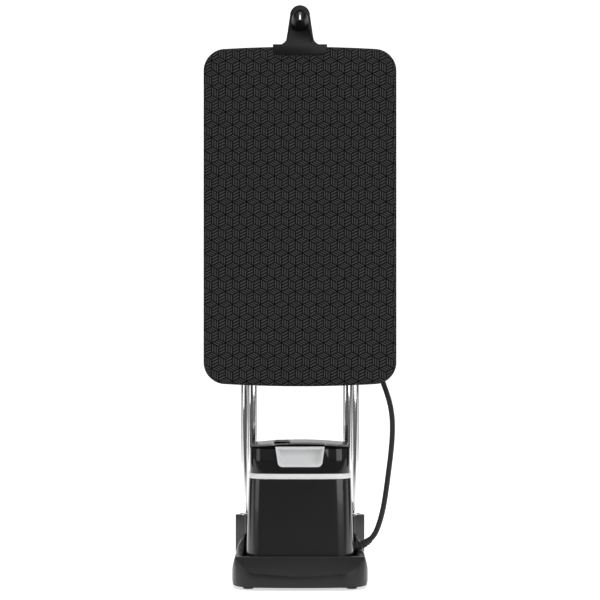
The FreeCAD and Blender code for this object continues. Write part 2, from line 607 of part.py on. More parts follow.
def make_tank():
    front = "(housing_front + housing_lean + tank_inset)"
    floor = "(housing_top + ring_height + tank_clear)"
    lid_level = "(tank_top - lid_thick)"
    body = new_body("tank_body")
    upper_block(body, "tank_block", floor, lid_level, "tank_inset")
    upper_block(body, "tank_spigot", "deck_level + deck_thick + 0.3", floor + " + 1", "8")
    upper_block(body, "tank_room", floor + " + tank_wall", lid_level + " + 1", "tank_inset + tank_wall",
        cut=True)
    upper_block(body, "spigot_room", "deck_level + deck_thick + 0.3 + tank_wall", floor + " + tank_wall + 1",
                "8 + tank_wall", cut=True)
    prism(body, "dish_wall", "XZ", front + " + 1.5", front + " + dish_depth + tank_wall",
          [dish_outline("-tank_wall", lid_level)])
    prism(body, "dish_recess", "XZ", front + " - 9", front + " + dish_depth",
          [dish_outline("0", lid_level + " + 1")], cut=True)
    prism(body, "valve_hole", "XY", "deck_level", floor, [("circle", "-30", "-70", "6")], cut=True)
    lid = new_body("tank_lid")
    half = "housing_top_half + 10"
    crown = [("-(%s)" % half, lid_level), (half, lid_level),
             (half, "tank_top - 2", "0", "tank_top + tank_crown"), ("-(%s)" % half, "tank_top - 2")]
    prism(lid, "lid_block", "XZ", "housing_front - 10", "housing_back + 10", [crown])
    frame = rectangle("-200", "200", "-300", "200")
    trim = upper_block(lid, "lid_edge", lid_level + " - 1", "tank_top + tank_crown + 1", "tank_inset",
        cut=True)
    draw_frame(trim.Profile[0], frame)
    prism(lid, "dish_notch", "XZ", front + " - 9", front + " + dish_depth",
          [dish_outline("-0.9", "tank_top + tank_crown + 3")], cut=True)
    cap_hole = rounded_pad("-52", "-22", "-58", "-28", "6")
    prism(lid, "cap_opening", "XY", lid_level + " - 1", "tank_top + tank_crown + 2", [cap_hole], cut=True)
    dish = new_body("tank_handle")
    prism(dish, "dish_block", "XZ", front + " - 1", front + " + dish_depth - 0.3",
          [dish_outline("0.4", "tank_top + 1")])
    loft(dish, "dish_scoop", "XZ", front + " - 1.01", [dish_outline("3.6", "tank_top - 2.5")],
         front + " + dish_depth - dish_wall", [dish_outline("9", "tank_top - 6")], cut=True)
    cap = new_body("filler_cap")
    plug = rounded_pad("-51.6", "-22.4", "-57.6", "-28.4", "5.6")
    prism(cap, "cap_plug", "XY", "tank_top + 2", "tank_top + 6", [plug])
    prism(cap, "cap_flange", "XY", "tank_top + 5.8", "tank_top + 7.4",
          [rounded_pad("-54", "-20", "-61", "-26", "6")])
    prism(cap, "cap_knuckle", "YZ", "-50", "-24", [("circle", "-26.2", "tank_top + 7.1", "1.6")])
    stem = rod("valve_stem", "z", "-30", "-70", "deck_level - 2", "26", "5.9")
    skirt = rod("valve_skirt", "z", "-30", "-70", "deck_level + deck_thick + 0.3 + tank_wall", "6", "14",
        "11")
    node(fused("tank_valve", [stem, skirt]), "tank_valve")


def draw_frame(sketch, frame):
    """Turns a pocket into a trim: the sketch gains an outer frame, so all outside its outline goes."""
    bindings = []
    draw_outline(sketch, frame, bindings)
    for number, text in bindings:
        sketch.setExpression("Constraints[%d]" % number, bound(text))
    doc.recompute()


def rounded_pad(x0, x1, y0, y1, radius):
    """A rectangle with round corners, from its sides."""
    near = "%s * 0.293" % radius
    return [
        ("%s + %s" % (x0, radius), y0), ("%s - %s" % (x1, radius), y0, "%s - %s" % (x1, near),
        "%s + %s" % (y0, near)),
        (x1, "%s + %s" % (y0, radius)), (x1, "%s - %s" % (y1, radius), "%s - %s" % (x1, near),
         "%s - %s" % (y1, near)),
        ("%s - %s" % (x1, radius), y1), ("%s + %s" % (x0, radius), y1, "%s + %s" % (x0, near),
         "%s - %s" % (y1, near)),
        (x0, "%s - %s" % (y1, radius)), (x0, "%s + %s" % (y0, radius), "%s + %s" % (x0, near),
         "%s + %s" % (y0, near)),
    ]


def make_insides():
    floor = "(well_floor + housing_wall)"
    tank = rod("boiler_drum", "x", "-62", "-62", "116", "112", "34")
    ends = [rod("boiler_left", "x", "-68", "-62", "116", "6.5", "26", "34"),
            rod("boiler_right", "x", "49.5", "-62", "116", "6.5", "34", "26")]
    legs = [box("boiler_leg_%d" % n, x, x + " + 8", "-84", "-40", floor, "90") for n, x in enumerate(("-56",
        "32"))]
    hollow = rod("boiler_hollow", "x", "-60", "-62", "116", "108", "32")
    node(cut_away("boiler", fused("boiler_solid", [tank] + ends + legs), [hollow]), "boiler")
    element = [rod("element_%d" % n, "x", "56", y, "116", "9", "4") for n, y in enumerate(("-74", "-50"))]
    element.append(box("element_bridge", "65", "69", "-80", "-44", "110", "122"))
    node(fused("heating_element", element), "heating_element")
    motor = rod("pump_motor", "x", "-70", "0", "84", "46", "18")
    head = box("pump_head", "-24", "4", "-16", "16", "68", "100")
    foot = box("pump_foot", "-64", "-4", "-14", "14", floor, "68.5")
    node(fused("pump", [motor, head, foot]), "pump")
    coil = rod("valve_coil", "z", "30", "-62", "158", "26", "12")
    block = box("valve_block", "18", "42", "-74", "-50", "150", "159")
    node(fused("solenoid_valve", [coil, block]), "solenoid_valve")
    board = box("control_plate", "20", "92", "14", "16", "60", "150")
    chips = [box("chip_%d" % n, x, x + " + 14", "4", "14.5", z, z + " + 18")
             for n, (x, z) in enumerate((("28", "70"), ("60", "74"), ("34", "112"), ("66", "118")))]
    posts = [rod("board_post_%d" % n, "y", x, "15.5", z, "housing_back - housing_wall - 15.5", "3")
             for n, (x, z) in enumerate((("26", "66"), ("86", "66"), ("26", "144"), ("86", "144")))]
    node(fused("control_board", [board] + chips + posts), "control_board")
    cup = rod("thermostat_cup", "z", "-30", "-62", "150", "7", "11")
    tabs = box("thermostat_tabs", "-38", "-22", "-64", "-60", "156.5", "165")
    node(fused("thermostat", [cup, tabs]), "thermostat")
    water = [("-30", "-70", "196"), ("-30", "-70", "176"), ("-50", "-20", "160"), ("-40", "10", "136"),
             ("-12", "2", "124"), ("-10", "0", "101")]
    node(pipe("water_pipe", water, 3.5), "water_pipe")
    steam = [("42.2", "-62", "154.6"), ("62", "-60", "154.6"), ("84", "-58", "132"),
             ("88", "-54", "100"), ("89", "hose_exit_y", "hose_exit_z + 8"), ("94.5", "hose_exit_y",
             "hose_exit_z")]
    node(pipe("steam_pipe", steam, 3.5), "steam_pipe")


def make_fittings():
    side = "(housing_top_half + (housing_foot_half - housing_top_half) * (housing_top - %s)" \
        " / (housing_top - well_floor))"
    face = side % "button_z"
    bezel = tube("button_bezel", "x", face + " - 6", "button_y", "button_z", "7.6", "button_r + 2.2", "1.9")
    node(bezel, "button_bezel")
    button = rod("button_stem", "x", face + " - 9", "button_y", "button_z", "12", "button_r")
    rim = doc.addObject("Part::Fillet", "button_rim")
    doc.recompute()
    rim.Base = button
    rim.Edges = [(i + 1, 1, 1) for i,
        e in enumerate(button.Shape.Edges) if e.CenterOfMass.x > size(face) + 2.5]
    node(rim, "power_button")
    wall = side % "hose_exit_z"
    flange = rod("gland_flange", "x", wall + " - 6.2", "hose_exit_y", "hose_exit_z", "3", "12")
    body = rod("gland_body", "x", wall + " - 10", "hose_exit_y", "hose_exit_z", "13", "8.9")
    node(cut_away("hose_gland", fused("gland_solid", [flange, body]),
                  [rod("gland_bore", "x", wall + " - 4", "hose_exit_y", "hose_exit_z", "20", "hose_r")]),
                      "hose_gland")
    nut = rod("inlet_nut", "y", "inlet_x", "housing_back - 5", "inlet_z", "11", "8.9")
    flange = rod("inlet_flange", "y", "inlet_x", "housing_back - housing_wall - 2.1", "inlet_z", "2", "12")
    nose = rod("inlet_nose", "y", "inlet_x", "housing_back + 6", "inlet_z", "14", "7.5", "5.5")
    bore = rod("inlet_bore", "y", "inlet_x", "housing_back - 6", "inlet_z", "30", "3.6")
    node(cut_away("cord_gland", fused("inlet_solid", [nut, flange, nose]), [bore]), "cord_gland")


# ---------------------------------------------------------------- tilt hinge

def make_bridge():
    body = new_body("tilt_bridge")
    bar = rectangle("-front_pole_x", "front_pole_x", "front_pole_y + 4", "front_pole_y + 18")
    prism(body, "bridge_bar", "XY", "bridge_low + 4", "hinge_z - 14", [bar])
    y, z = "hinge_y", "hinge_z"
    lug = [
        (y + " - 18.5", z + " - 4"), (y + " - 6", z + " - 11"), (y + " + 6", z + " - 13"),
        ("front_pole_y + 5", "bridge_low + 4"), ("front_pole_y + 18", "bridge_low + 4"),
        ("front_pole_y + 18", z + " - 14"), (y + " + 8", z + " + 10"), (y + " - 5", z + " + 11"),
        (y + " - 18.5", z + " + 4"),
    ]
    for side, sign in SIDES.items():
        low = "lug_half - lug_thick" if sign > 0 else "-lug_half"
        prism(body, "lug_" + side, "YZ", low, low + " + lug_thick", [lug])
        cap = ("circle", "%d * front_pole_x" % sign, "front_pole_y", "front_pole_r + 6")
        prism(body, "pole_cap_" + side, "XY", "bridge_low", "front_pole_top + 5", [cap])
    for side, sign in SIDES.items():
        seat = ("circle", "%d * front_pole_x" % sign, "front_pole_y", "front_pole_r")
        prism(body, "pole_seat_" + side, "XY", "bridge_low - 1", "front_pole_top", [seat], cut=True)
    prism(body, "axle_seat", "YZ", "-lug_half - 1", "lug_half + 1", [("circle", y, z, "axle_r")], cut=True)
    prism(body, "lock_hole", "YZ", "lug_half - lug_thick - 1", "lug_half + 1",
          [("circle", y + " - pin_reach", z, "pin_r + running")], cut=True)
    prism(body, "lever_post", "XZ", "front_pole_y - 22", "front_pole_y + 5",
          [("circle", "lever_x", "hinge_z - lever_rise", "4")])
    axle = rod("hinge_axle", "x", "-lug_half - ear_thick - 4", y, z, "2 * lug_half + 2 * ear_thick + 8",
        "axle_r")
    node(axle, "hinge_axle")
    pin_y = y + " - pin_reach"
    stem = rod("pin_stem", "x", "lever_x - 3.6", pin_y, z, "lug_half + ear_thick - lever_x + 3.2", "pin_r")
    head = rod("pin_head", "x", "lever_x - 6", pin_y, z, "3", "pin_r + 3")
    node(fused("lock_pin", [stem, head]), "lock_pin")
    lever = new_body("tilt_lever")
    pivot_z = "(hinge_z - lever_rise)"
    outline = [
        ("lever_x - 2.6", pivot_z), ("lever_x - 2.6", "hinge_z"), ("lever_x + 2.4", "hinge_z"),
        ("lever_x + 2.4", pivot_z + " + 8"), ("lever_x + 8", pivot_z), ("lever_x + 5", pivot_z + " - 40"),
        ("lever_x + 9", pivot_z + " - 62", "lever_x", pivot_z + " - 72"), ("lever_x - 9", pivot_z + " - 62"),
        ("lever_x - 5", pivot_z + " - 40"), ("lever_x - 8", pivot_z),
    ]
    back = "%s + pin_r + 4.6" % pin_y
    prism(lever, "lever_plate", "XZ", "%s + pin_r + 0.6" % pin_y, back, [outline])
    prism(lever, "lever_bore", "XZ", pin_y, back + " + 5", [("circle", "lever_x", pivot_z, "4 + running")],
          cut=True)


# ---------------------------------------------------------------- board

def board_outline(inset):
    """The board from the front: straight sides, crowned ends, round corners."""
    half, corner = "(board_width / 2 - %s)" % inset, "(board_corner - %s)" % inset
    low, high = "(board_bottom + %s)" % inset, "(board_bottom + board_height - %s)" % inset
    bend, crown = "%s * 0.293" % corner, "board_crown"
    low_side, high_side = "%s + %s * 0.75" % (low, crown), "%s - %s * 0.75" % (high, crown)
    return [
        ("-%s" % half, "%s + %s" % (low_side, corner), "-%s + %s" % (half, bend), "%s + %s" % (low_side,
        bend)),
        ("-%s + %s" % (half, corner), "%s - %s * 0.15" % (low_side, crown), "0", low),
        ("%s - %s" % (half, corner), "%s - %s * 0.15" % (low_side, crown),
         "%s - %s" % (half, bend), "%s + %s" % (low_side, bend)),
        (half, "%s + %s" % (low_side, corner)),
        (half, "%s - %s" % (high_side, corner), "%s - %s" % (half, bend), "%s - %s" % (high_side, bend)),
        ("%s - %s" % (half, corner), "%s + %s * 0.15" % (high_side, crown), "0", high),
        ("-%s + %s" % (half, corner), "%s + %s * 0.15" % (high_side, crown),
         "-%s + %s" % (half, bend), "%s - %s" % (high_side, bend)),
        ("-%s" % half, "%s - %s" % (high_side, corner)),
    ]


def make_board():
    foam_front = "board_face + cover_wall"
    pan_front = "(board_face + cover_wall + foam_thick)"
    pan_back = "(board_face + cover_wall + foam_thick + pan_depth)"
    pan = new_body("board_pan")
    prism(pan, "pan_block", "XZ", pan_front, pan_back, [board_outline("cover_wall")])
    prism(pan, "pan_hollow", "XZ", pan_front + " + pan_wall", pan_back + " + 1",
          [board_outline("cover_wall + pan_wall")], cut=True)
    rib = "pan_wall / 2"
    inner = "board_width / 2 - 3"
    for number, z in enumerate(("board_bottom + 120", "board_bottom + 240", "board_bottom + 590")):
        prism(pan, "cross_rib_%d" % number, "XZ", pan_front, pan_back + " - 4",
              [rectangle("-" + inner.replace("-", "+"), inner, z + " - " + rib, z + " + " + rib)])
    for number, x in enumerate(("-110", "-40", "40", "110")):
        prism(pan, "long_rib_%d" % number, "XZ", pan_front, pan_back + " - 4",
              [rectangle(x + " - " + rib, x + " + " + rib, "board_bottom + 6",
                  "board_bottom + board_height - 6")])
    prism(pan, "hinge_block", "XZ", pan_front, pan_back,
          [rectangle("-bracket_half", "bracket_half", "hinge_z - bracket_reach", "hinge_z + bracket_reach")])
    foam = new_body("board_foam")
    prism(foam, "foam_block", "XZ", foam_front, pan_front, [board_outline("cover_wall")])
    cover = new_body("board_cover")
    prism(cover, "cover_block", "XZ", "board_face", pan_back + " + cover_wall", [board_outline("0")])
    prism(cover, "cover_room", "XZ", foam_front, pan_back, [board_outline("cover_wall")], cut=True)
    prism(cover, "hem_opening", "XZ", pan_back + " - 1", pan_back + " + cover_wall + 1",
          [board_outline("hem_width")], cut=True)
    bracket = new_body("board_bracket")
    prism(bracket, "bracket_plate", "XZ", pan_back, pan_back + " + 4",
          [rectangle("-bracket_half", "bracket_half", "hinge_z - bracket_reach", "hinge_z + bracket_reach")])
    round_edges(bracket, "bracket_corners", "12", along("y"))
    y, z, thick = "hinge_y", "hinge_z", "ear_thick"
    ear = [(pan_back + " + 2", z + " - 26"), (y, z + " - pin_reach - 6"),
           (y + " + 8", z + " - 8", y + " + 11.3", z), (y + " + 8", z + " + 8"),
           (pan_back + " + 2", z + " + 26")]
    wide, outer, inside = "(pin_r + 0.3)", "(pin_reach + pin_r + 0.3)", "(pin_reach - pin_r - 0.3)"
    slot = [
        (y + " - " + outer, z, "%s - %s * 0.7071" % (y, outer), "%s - %s * 0.7071" % (z, outer)),
        (y, z + " - " + outer, y + " + " + wide, z + " - pin_reach"),
        (y, z + " - " + inside, "%s - %s * 0.7071" % (y, inside), "%s - %s * 0.7071" % (z, inside)),
        (y + " - " + inside, z, y + " - pin_reach", z + " + " + wide),
    ]
    for side, sign in SIDES.items():
        low = "lug_half + side_gap" if sign > 0 else "-lug_half - side_gap - " + thick
        prism(bracket, "ear_" + side, "YZ", low, low + " + " + thick, [ear])
        prism(bracket, "ear_holes_" + side, "YZ", low + " - 0.2", low + " + %s + 0.2" % thick,
              [("circle", y, z, "axle_r + running"), slot], cut=True)
    screws = []
    for x in ("-bracket_half + 14", "0", "bracket_half - 14"):
        for z in ("hinge_z - bracket_reach + 14", "hinge_z + bracket_reach - 14"):
            name = "bracket_screw_%d" % len(screws)
            screws.append(rod(name, "y", x, pan_back + " + 4", z, "2.6", "4.5", "3.2"))
    node(compound("bracket_screws", screws), "bracket_screws")


def make_hanger():
    """The clip-on clothes hanger: a lip over the board's top, a neck and a slotted boss."""
    front, back = "(board_face - 0.3)", "(board_face + 2 * cover_wall + foam_thick + pan_depth + 0.3)"
    top = "(board_bottom + board_height)"
    body = new_body("hanger_hook")
    clip = [("-43", "%s - 18" % top), ("43", "%s - 18" % top, "51", "%s - 15" % top), ("55", "%s - 9" % top),
            ("hook_half", top + " + 3.7"), ("-hook_half", top + " + 3.7"),
            ("-55", "%s - 9" % top, "-51", "%s - 15" % top)]
    prism(body, "clip_block", "XZ", front + " - 3", back + " + 3", [clip])
    slot = rectangle("-80", "80", "%s - 40" % top, top + " + 0.3")
    prism(body, "board_slot", "XZ", front, back, [slot], cut=True)
    neck = [
        ("-55", "%s + 3" % top), ("55", "%s + 3" % top), ("55", "%s + 3.7" % top, "36", "%s + 6.6" % top),
        ("29", "%s + 13.5" % top), ("27", "%s + 24" % top), ("hook_r", "%s + hook_rise" % top,
         "0", "%s + hook_rise + hook_r" % top),
        ("-hook_r", "%s + hook_rise" % top), ("-27", "%s + 24" % top),
        ("-29", "%s + 13.5" % top, "-36", "%s + 6.6" % top), ("-55", "%s + 3.7" % top),
    ]
    prism(body, "neck_block", "XZ", "0", "16", [neck])
    panel = [("-23.5", "%s + 9" % top), ("23.5", "%s + 9" % top), ("19.5", "%s + 36" % top), ("-19.5",
        "%s + 36" % top)]
    prism(body, "neck_panel", "XZ", "-1", "2", [panel], cut=True)
    boss_z, tip_z = "(%s + hook_rise - 15.4)" % top, "(%s + hook_rise - 5.6)" % top
    rise = "(%s - %s)" % (tip_z, boss_z)
    boss = doc.addObject("Part::Cone", "hook_boss")
    lean = math.degrees(math.atan2(size(rise), size("boss_reach")))
    boss.Placement = FreeCAD.Placement(V(), FreeCAD.Rotation(V(1, 0, 0), 90 - lean))
    bind(boss, Radius1="hook_r - 1.5", Radius2="boss_r", Height="sqrt(boss_reach ^ 2 + %s ^ 2)" % rise)
    place(boss, "0", "2", boss_z)
    dish = doc.addObject("Part::Cone", "boss_dish")
    dish.Placement = boss.Placement
    bind(dish, Radius1="boss_r - 6", Radius2="boss_r - 2", Height="4")
    place(dish, "0", "2 - boss_reach + 3.9 * cos(%s)" % lean, "%s - 3.9 * sin(%s)" % (tip_z, lean))
    waist = [("-4.3", tip_z + " - 9.2"), ("4.3", tip_z + " - 9.2"), ("1.6", tip_z), ("4.3", tip_z + " + 8.2"),
             ("-4.3", tip_z + " + 8.2"), ("-1.6", tip_z)]
    slot_body = doc.addObject("PartDesign::Body", "hanger_slot")
    prism(slot_body, "hanger_slot_block", "XZ", "-80", "40", [waist])
    whole = fused("hook_solid", [body, boss])
    NODES.remove(body)
    body.Label = "hook_plate"
    node(cut_away("hanger_hook_cut", whole, [dish, slot_body]), "hanger_hook")


# ---------------------------------------------------------------- steam head

def sole_outline(half, nose, heel):
    x = "head_x"
    return [(x + " - %s" % half, heel + " - 8", x + " - %s + 2" % half, heel + " - 2"),
            (x + " - %s + 8" % half, heel), (x + " + %s - 8" % half, heel, x + " + %s - 2" % half,
            heel + " - 2"),
            (x + " + %s" % half, heel + " - 8"), (x + " + %s" % half, heel + " - 60",
             x + " + %s * 0.78" % half, nose + " + 55"),
            (x + " + 7", nose + " + 4", x, nose), (x + " - 7", nose + " + 4",
             x + " - %s * 0.78" % half, nose + " + 55"), (x + " - %s" % half, heel + " - 60")]


def make_head():
    sole = new_body("iron_soleplate")
    prism(sole, "sole_block", "XZ", "sole_front", "sole_front + sole_thick",
          [sole_outline("head_half", "nose_z", "heel_z")])
    vents = [("circle", "head_x + %d * %s" % (sign, x), z, "2") for sign in (-1, 1)
             for x, z in (("16", "nose_z + 45"), ("22", "nose_z + 75"), ("27", "nose_z + 105"))]
    prism(sole, "steam_vents", "XZ", "sole_front - 1", "sole_front + sole_thick - 1", vents,
          cut=True)
    back = "(sole_front + sole_thick + body_depth)"
    body = new_body("iron_body")
    loft(body, "body_block", "XZ", "sole_front + sole_thick", [sole_outline("(head_half - 3)", "nose_z + 4",
        "heel_z - 3")],
         back, [sole_outline("(head_half - 17)", "nose_z + 44", "heel_z - 12")])
    grip = new_body("iron_handle")
    y1 = "grip_back"
    inner = "(grip_back - grip_thick)"
    side = [
        (back, "nose_z + 62"), (inner + " - 6", "nose_z + 62", inner + " + 12", "nose_z + 68"),
        (y1, "nose_z + 92"), (y1, "heel_z - 8", y1 + " - 3", "heel_z - 2"), (y1 + " - 9", "heel_z"),
        (back, "heel_z - 13"),
    ]
    prism(grip, "grip_block", "YZ", "head_x - grip_half", "head_x + grip_half", [side])
    gap = [(back + " + 5", "nose_z + 86"), (inner + " - 4", "nose_z + 86", inner + " - 1", "nose_z + 87"),
           (inner, "nose_z + 92"), (inner, "heel_z - 34", inner + " - 1", "heel_z - 29"),
           (inner + " - 5", "heel_z - 28"), (back + " + 5", "heel_z - 28")]
    prism(grip, "finger_gap", "YZ", "head_x - 40", "head_x + 40", [gap], cut=True)
    round_edges(grip, "grip_soft", "4",
        lambda e: abs(abs(e.CenterOfMass.x - size("head_x")) - size("grip_half")) < 0.1
                and e.CenterOfMass.y > size(back) + 7)
    prism(grip, "boot_seat", "XY", "heel_z - 8", "heel_z + 1", [("circle", "head_x", "boot_y", "11")],
        cut=True)
    z0, z1 = "heel_z - 92", "heel_z - 44"
    recess = rectangle("head_x - 11.6", "head_x + 11.6", z0 + " - 2", z1 + " + 2")
    prism(grip, "trigger_recess", "XZ", inner + " - 1", inner + " + 5.2", [recess], cut=True)
    trigger = new_body("steam_trigger")
    key = [(inner + " - 0.4", z1), (inner + " - 8", z1, inner + " - 13", z1 + " - 8"),
           (inner + " - 11", z0), (inner + " - 0.4", z0 + " + 6")]
    prism(trigger, "trigger_block", "YZ", "head_x - 9", "head_x + 9", [key])
    prism(trigger, "trigger_barrel", "YZ", "head_x - 11", "head_x + 11",
          [("circle", inner + " - 2.6", z1 + " - 4", "2.2")])
    boot = rod("boot_cone", "z", "head_x", "boot_y", "heel_z - 8", "boot_top - heel_z + 8", "11", "8.5")
    rings = [rod("boot_ring_%d" % n, "z", "head_x", "boot_y", "heel_z + %d" % (8 + 8 * n), "3",
        "11.5 - 0.7 * %d" % n)
             for n in range(3)]
    socket = rod("boot_bore", "z", "head_x", "boot_y", "boot_top - 12", "13", "hose_r")
    node(cut_away("iron_boot", fused("boot_solid", [boot] + rings), [socket]), "iron_boot")


# ---------------------------------------------------------------- hose

def pipe(label, points, radius):
    """A tube of straight runs joined by tangent arcs, each as large as its two runs allow."""
    route = [V(*[size(value) for value in point]) for point in points]
    edges, start, radii = [], route[0], []
    for before, corner, after in zip(route, route[1:], route[2:]):
        back, ahead = (before - corner), (after - corner)
        shorter = min(back.Length, ahead.Length)
        back.normalize()
        ahead.normalize()
        turn = math.pi - back.getAngle(ahead)
        trim = 0.45 * shorter
        bend = trim / math.tan(turn / 2)
        radii.append(bend)
        first, last = corner + back * trim, corner + ahead * trim
        inward = back + ahead
        inward.normalize()
        middle = corner + inward * (math.hypot(bend, trim) - bend)
        edges.append(Part.LineSegment(start, first).toShape())
        edges.append(Part.Arc(first, middle, last).toShape())
        start = last
    edges.append(Part.LineSegment(start, route[-1]).toShape())
    path = Part.Wire(edges)
    section = Part.Wire([Part.Circle(route[0], route[1] - route[0], radius).toShape()])
    solid = path.makePipeShell([section], True, True)
    expected = math.pi * radius ** 2 * path.Length
    print("%s: length %.0f, radii %s" % (label, path.Length, " ".join("%.0f" % r for r in radii)))
    if abs(solid.Volume - expected) > 0.02 * expected:
        raise RuntimeError("%s has the wrong volume: %.0f for %.0f" % (label, solid.Volume, expected))
    thing = doc.addObject("Part::Feature", label + "_tube")
    thing.Shape = solid
    return thing


HOSE_ROUTE = [
    (109, -50, 72.4), (121, -50, 74.3), (133, -49.5, 79.3), (145, -48, 87.7), (154.6, -45.5, 99.2),
    (161.5, -42, 114.7), (168, -37, 134.6), (174, -30, 160), (179, -22, 190), (184, -12, 224),
    (189, -1, 258), (193, 11, 294), (194, 24, 329), (190, 38, 361), (181, 52, 391), (169, 66, 423),
    (156, 80, 458), (143, 92, 497), (129, 101, 541), (116, 105.5, 588), (107.5, 105.5, 635),
    (105, 104, 680),
]


def make_hose():
    lower = [tuple(str(value) for value in point) for point in HOSE_ROUTE]
    node(pipe("hose_lower", lower, size("hose_r")), "hose_lower")
    ring = tube("hose_coil", "y", "coil_x", "coil_front", "coil_z", "coil_back - coil_front",
        "coil_r + hose_r",
                "2 * hose_r")
    node(ring, "hose_coil")
    upper = rod("hose_upper", "z", "head_x", "boot_y", "boot_top - 12", "coil_z - boot_top + 12", "hose_r")
    node(upper, "hose_upper")


# ---------------------------------------------------------------- build, check, write

make_base()
make_bottom()
make_wheels()
make_sockets()
make_poles()
make_crossheads()
make_rest()
make_housing()
make_trim()
make_insides()
make_fittings()
make_tank()
make_bridge()
make_board()
make_hanger()
make_head()
make_hose()
doc.recompute()

for thing in doc.Objects:
    if "Invalid" in thing.State or "Error" in thing.State:
        raise RuntimeError("%s failed: %s" % (thing.Label, thing.State))
for thing in NODES:
    if thing.Shape.isNull() or not thing.Shape.isValid() or not thing.Shape.Solids:
        raise RuntimeError("%s has no valid solid" % thing.Label)
if len(NODES) > 60 or len({thing.Label for thing in NODES}) != len(NODES):
    raise RuntimeError("node names or number: %d" % len(NODES))

os.makedirs("parts", exist_ok=True)
for thing in NODES:
    thing.Shape.exportStep("parts/%s.step" % thing.Label)
print("%d nodes written" % len(NODES))
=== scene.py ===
import bpy
import bmesh
import json
import math
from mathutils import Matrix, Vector


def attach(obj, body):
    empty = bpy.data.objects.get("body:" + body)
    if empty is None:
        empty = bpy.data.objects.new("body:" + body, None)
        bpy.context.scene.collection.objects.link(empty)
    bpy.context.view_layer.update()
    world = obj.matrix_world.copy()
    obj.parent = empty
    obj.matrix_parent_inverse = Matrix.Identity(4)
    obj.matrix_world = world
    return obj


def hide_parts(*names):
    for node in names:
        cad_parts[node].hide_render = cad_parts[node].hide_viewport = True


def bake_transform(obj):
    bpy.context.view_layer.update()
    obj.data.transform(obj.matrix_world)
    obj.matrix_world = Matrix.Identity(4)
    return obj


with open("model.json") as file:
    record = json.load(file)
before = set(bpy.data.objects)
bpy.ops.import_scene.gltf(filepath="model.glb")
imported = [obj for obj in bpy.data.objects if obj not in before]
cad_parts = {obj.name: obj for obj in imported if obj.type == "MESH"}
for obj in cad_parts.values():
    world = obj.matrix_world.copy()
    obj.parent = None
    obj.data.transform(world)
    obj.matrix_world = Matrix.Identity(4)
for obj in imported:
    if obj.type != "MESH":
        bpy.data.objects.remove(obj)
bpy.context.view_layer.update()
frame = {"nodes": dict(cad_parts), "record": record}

mm = 0.001


cameraView = dict(place=(0.0, -3.75, 0.580), lens=108.0, sensor=36.0)

cameraData = bpy.data.cameras.new("frontView")
cameraData.lens = cameraView["lens"]
cameraData.sensor_width = cameraView["sensor"]
cameraData.clip_end = 60
camera = bpy.data.objects.new("frontView", cameraData)
camera.location = cameraView["place"]
camera.rotation_euler = (math.radians(90), 0, 0)
bpy.context.collection.objects.link(camera)
bpy.context.scene.camera = camera
print("camera:", camera.name)


# small tools used all through

def deselect():
    if bpy.context.object and bpy.context.object.mode != "OBJECT":
        bpy.ops.object.mode_set(mode="OBJECT")
    bpy.ops.object.select_all(action="DESELECT")


def pick(piece):
    deselect()
    piece.select_set(True)
    bpy.context.view_layer.objects.active = piece
    return piece


def added(name):
    piece = bpy.context.object  # what the last primitive operator made
    piece.name = name
    piece.data.name = name
    return piece


def settle(piece):
    pick(piece)  # the place goes into the mesh, so the object stands at the origin
    bpy.ops.object.transform_apply(location=True, rotation=True, scale=True)
    return piece


def modify(piece, kind, **settings):
    pick(piece)
    change = piece.modifiers.new(kind.title(), kind)
    for key, value in settings.items():
        setattr(change, key, value)
    bpy.ops.object.modifier_apply(modifier=change.name)
    return piece


def selectFaces(piece, test):
    pick(piece)
    bpy.ops.object.mode_set(mode="EDIT")
    bpy.ops.mesh.select_mode(type="FACE")
    bpy.ops.mesh.select_all(action="DESELECT")
    work = bmesh.from_edit_mesh(piece.data)
    for face in work.faces:
        face.select = bool(test(face))
    work.select_flush_mode()
    bmesh.update_edit_mesh(piece.data)


def selectEdges(piece, test):
    pick(piece)
    bpy.ops.object.mode_set(mode="EDIT")
    bpy.ops.mesh.select_mode(type="EDGE")
    bpy.ops.mesh.select_all(action="DESELECT")
    work = bmesh.from_edit_mesh(piece.data)
    for edge in work.edges:
        edge.select = bool(test(edge))
    work.select_flush_mode()
    bmesh.update_edit_mesh(piece.data)


def smoothed(piece, angle=35):
    pick(piece)
    bpy.ops.object.shade_smooth_by_angle(angle=math.radians(angle))
    return piece


def finishPiece(piece, body, material, stands=()):
    settle(piece)
    piece.data.materials.clear()
    piece.data.materials.append(material)
    if stands:
        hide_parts(*stands)
    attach(piece, body)
    return piece


bodyOfNode = {node: body for body, nodes in frame["record"]["behaviour"]["bodies"].items() for node in nodes}
slotOfNode = {part["node"]: part["material_slot"] for part in frame["record"]["subparts"]}


def softened(node, name, width, material, segments=2, angle=28):
    source = frame["nodes"][node]  # the CAD piece with its sharp edges eased
    piece = bpy.data.objects.new(name, source.data.copy())
    bpy.context.collection.objects.link(piece)
    pick(piece)
    bpy.ops.object.mode_set(mode="EDIT")
    bpy.ops.mesh.select_all(action="SELECT")
    bpy.ops.mesh.remove_doubles(threshold=0.01 * mm)
    bpy.ops.mesh.dissolve_limited(angle_limit=math.radians(0.6), delimit={"NORMAL"})
    bpy.ops.object.mode_set(mode="OBJECT")
    modify(piece, "BEVEL", width=width, segments=segments, limit_method="ANGLE",
           angle_limit=math.radians(angle), use_clamp_overlap=True, miter_outer="MITER_ARC")
    smoothed(piece, 40)
    return finishPiece(piece, bodyOfNode[node], material, [node])


def meshPiece(name, verts, faces):
    mesh = bpy.data.meshes.new(name)
    mesh.from_pydata(verts, [], faces)
    piece = bpy.data.objects.new(name, mesh)
    bpy.context.collection.objects.link(piece)
    return piece


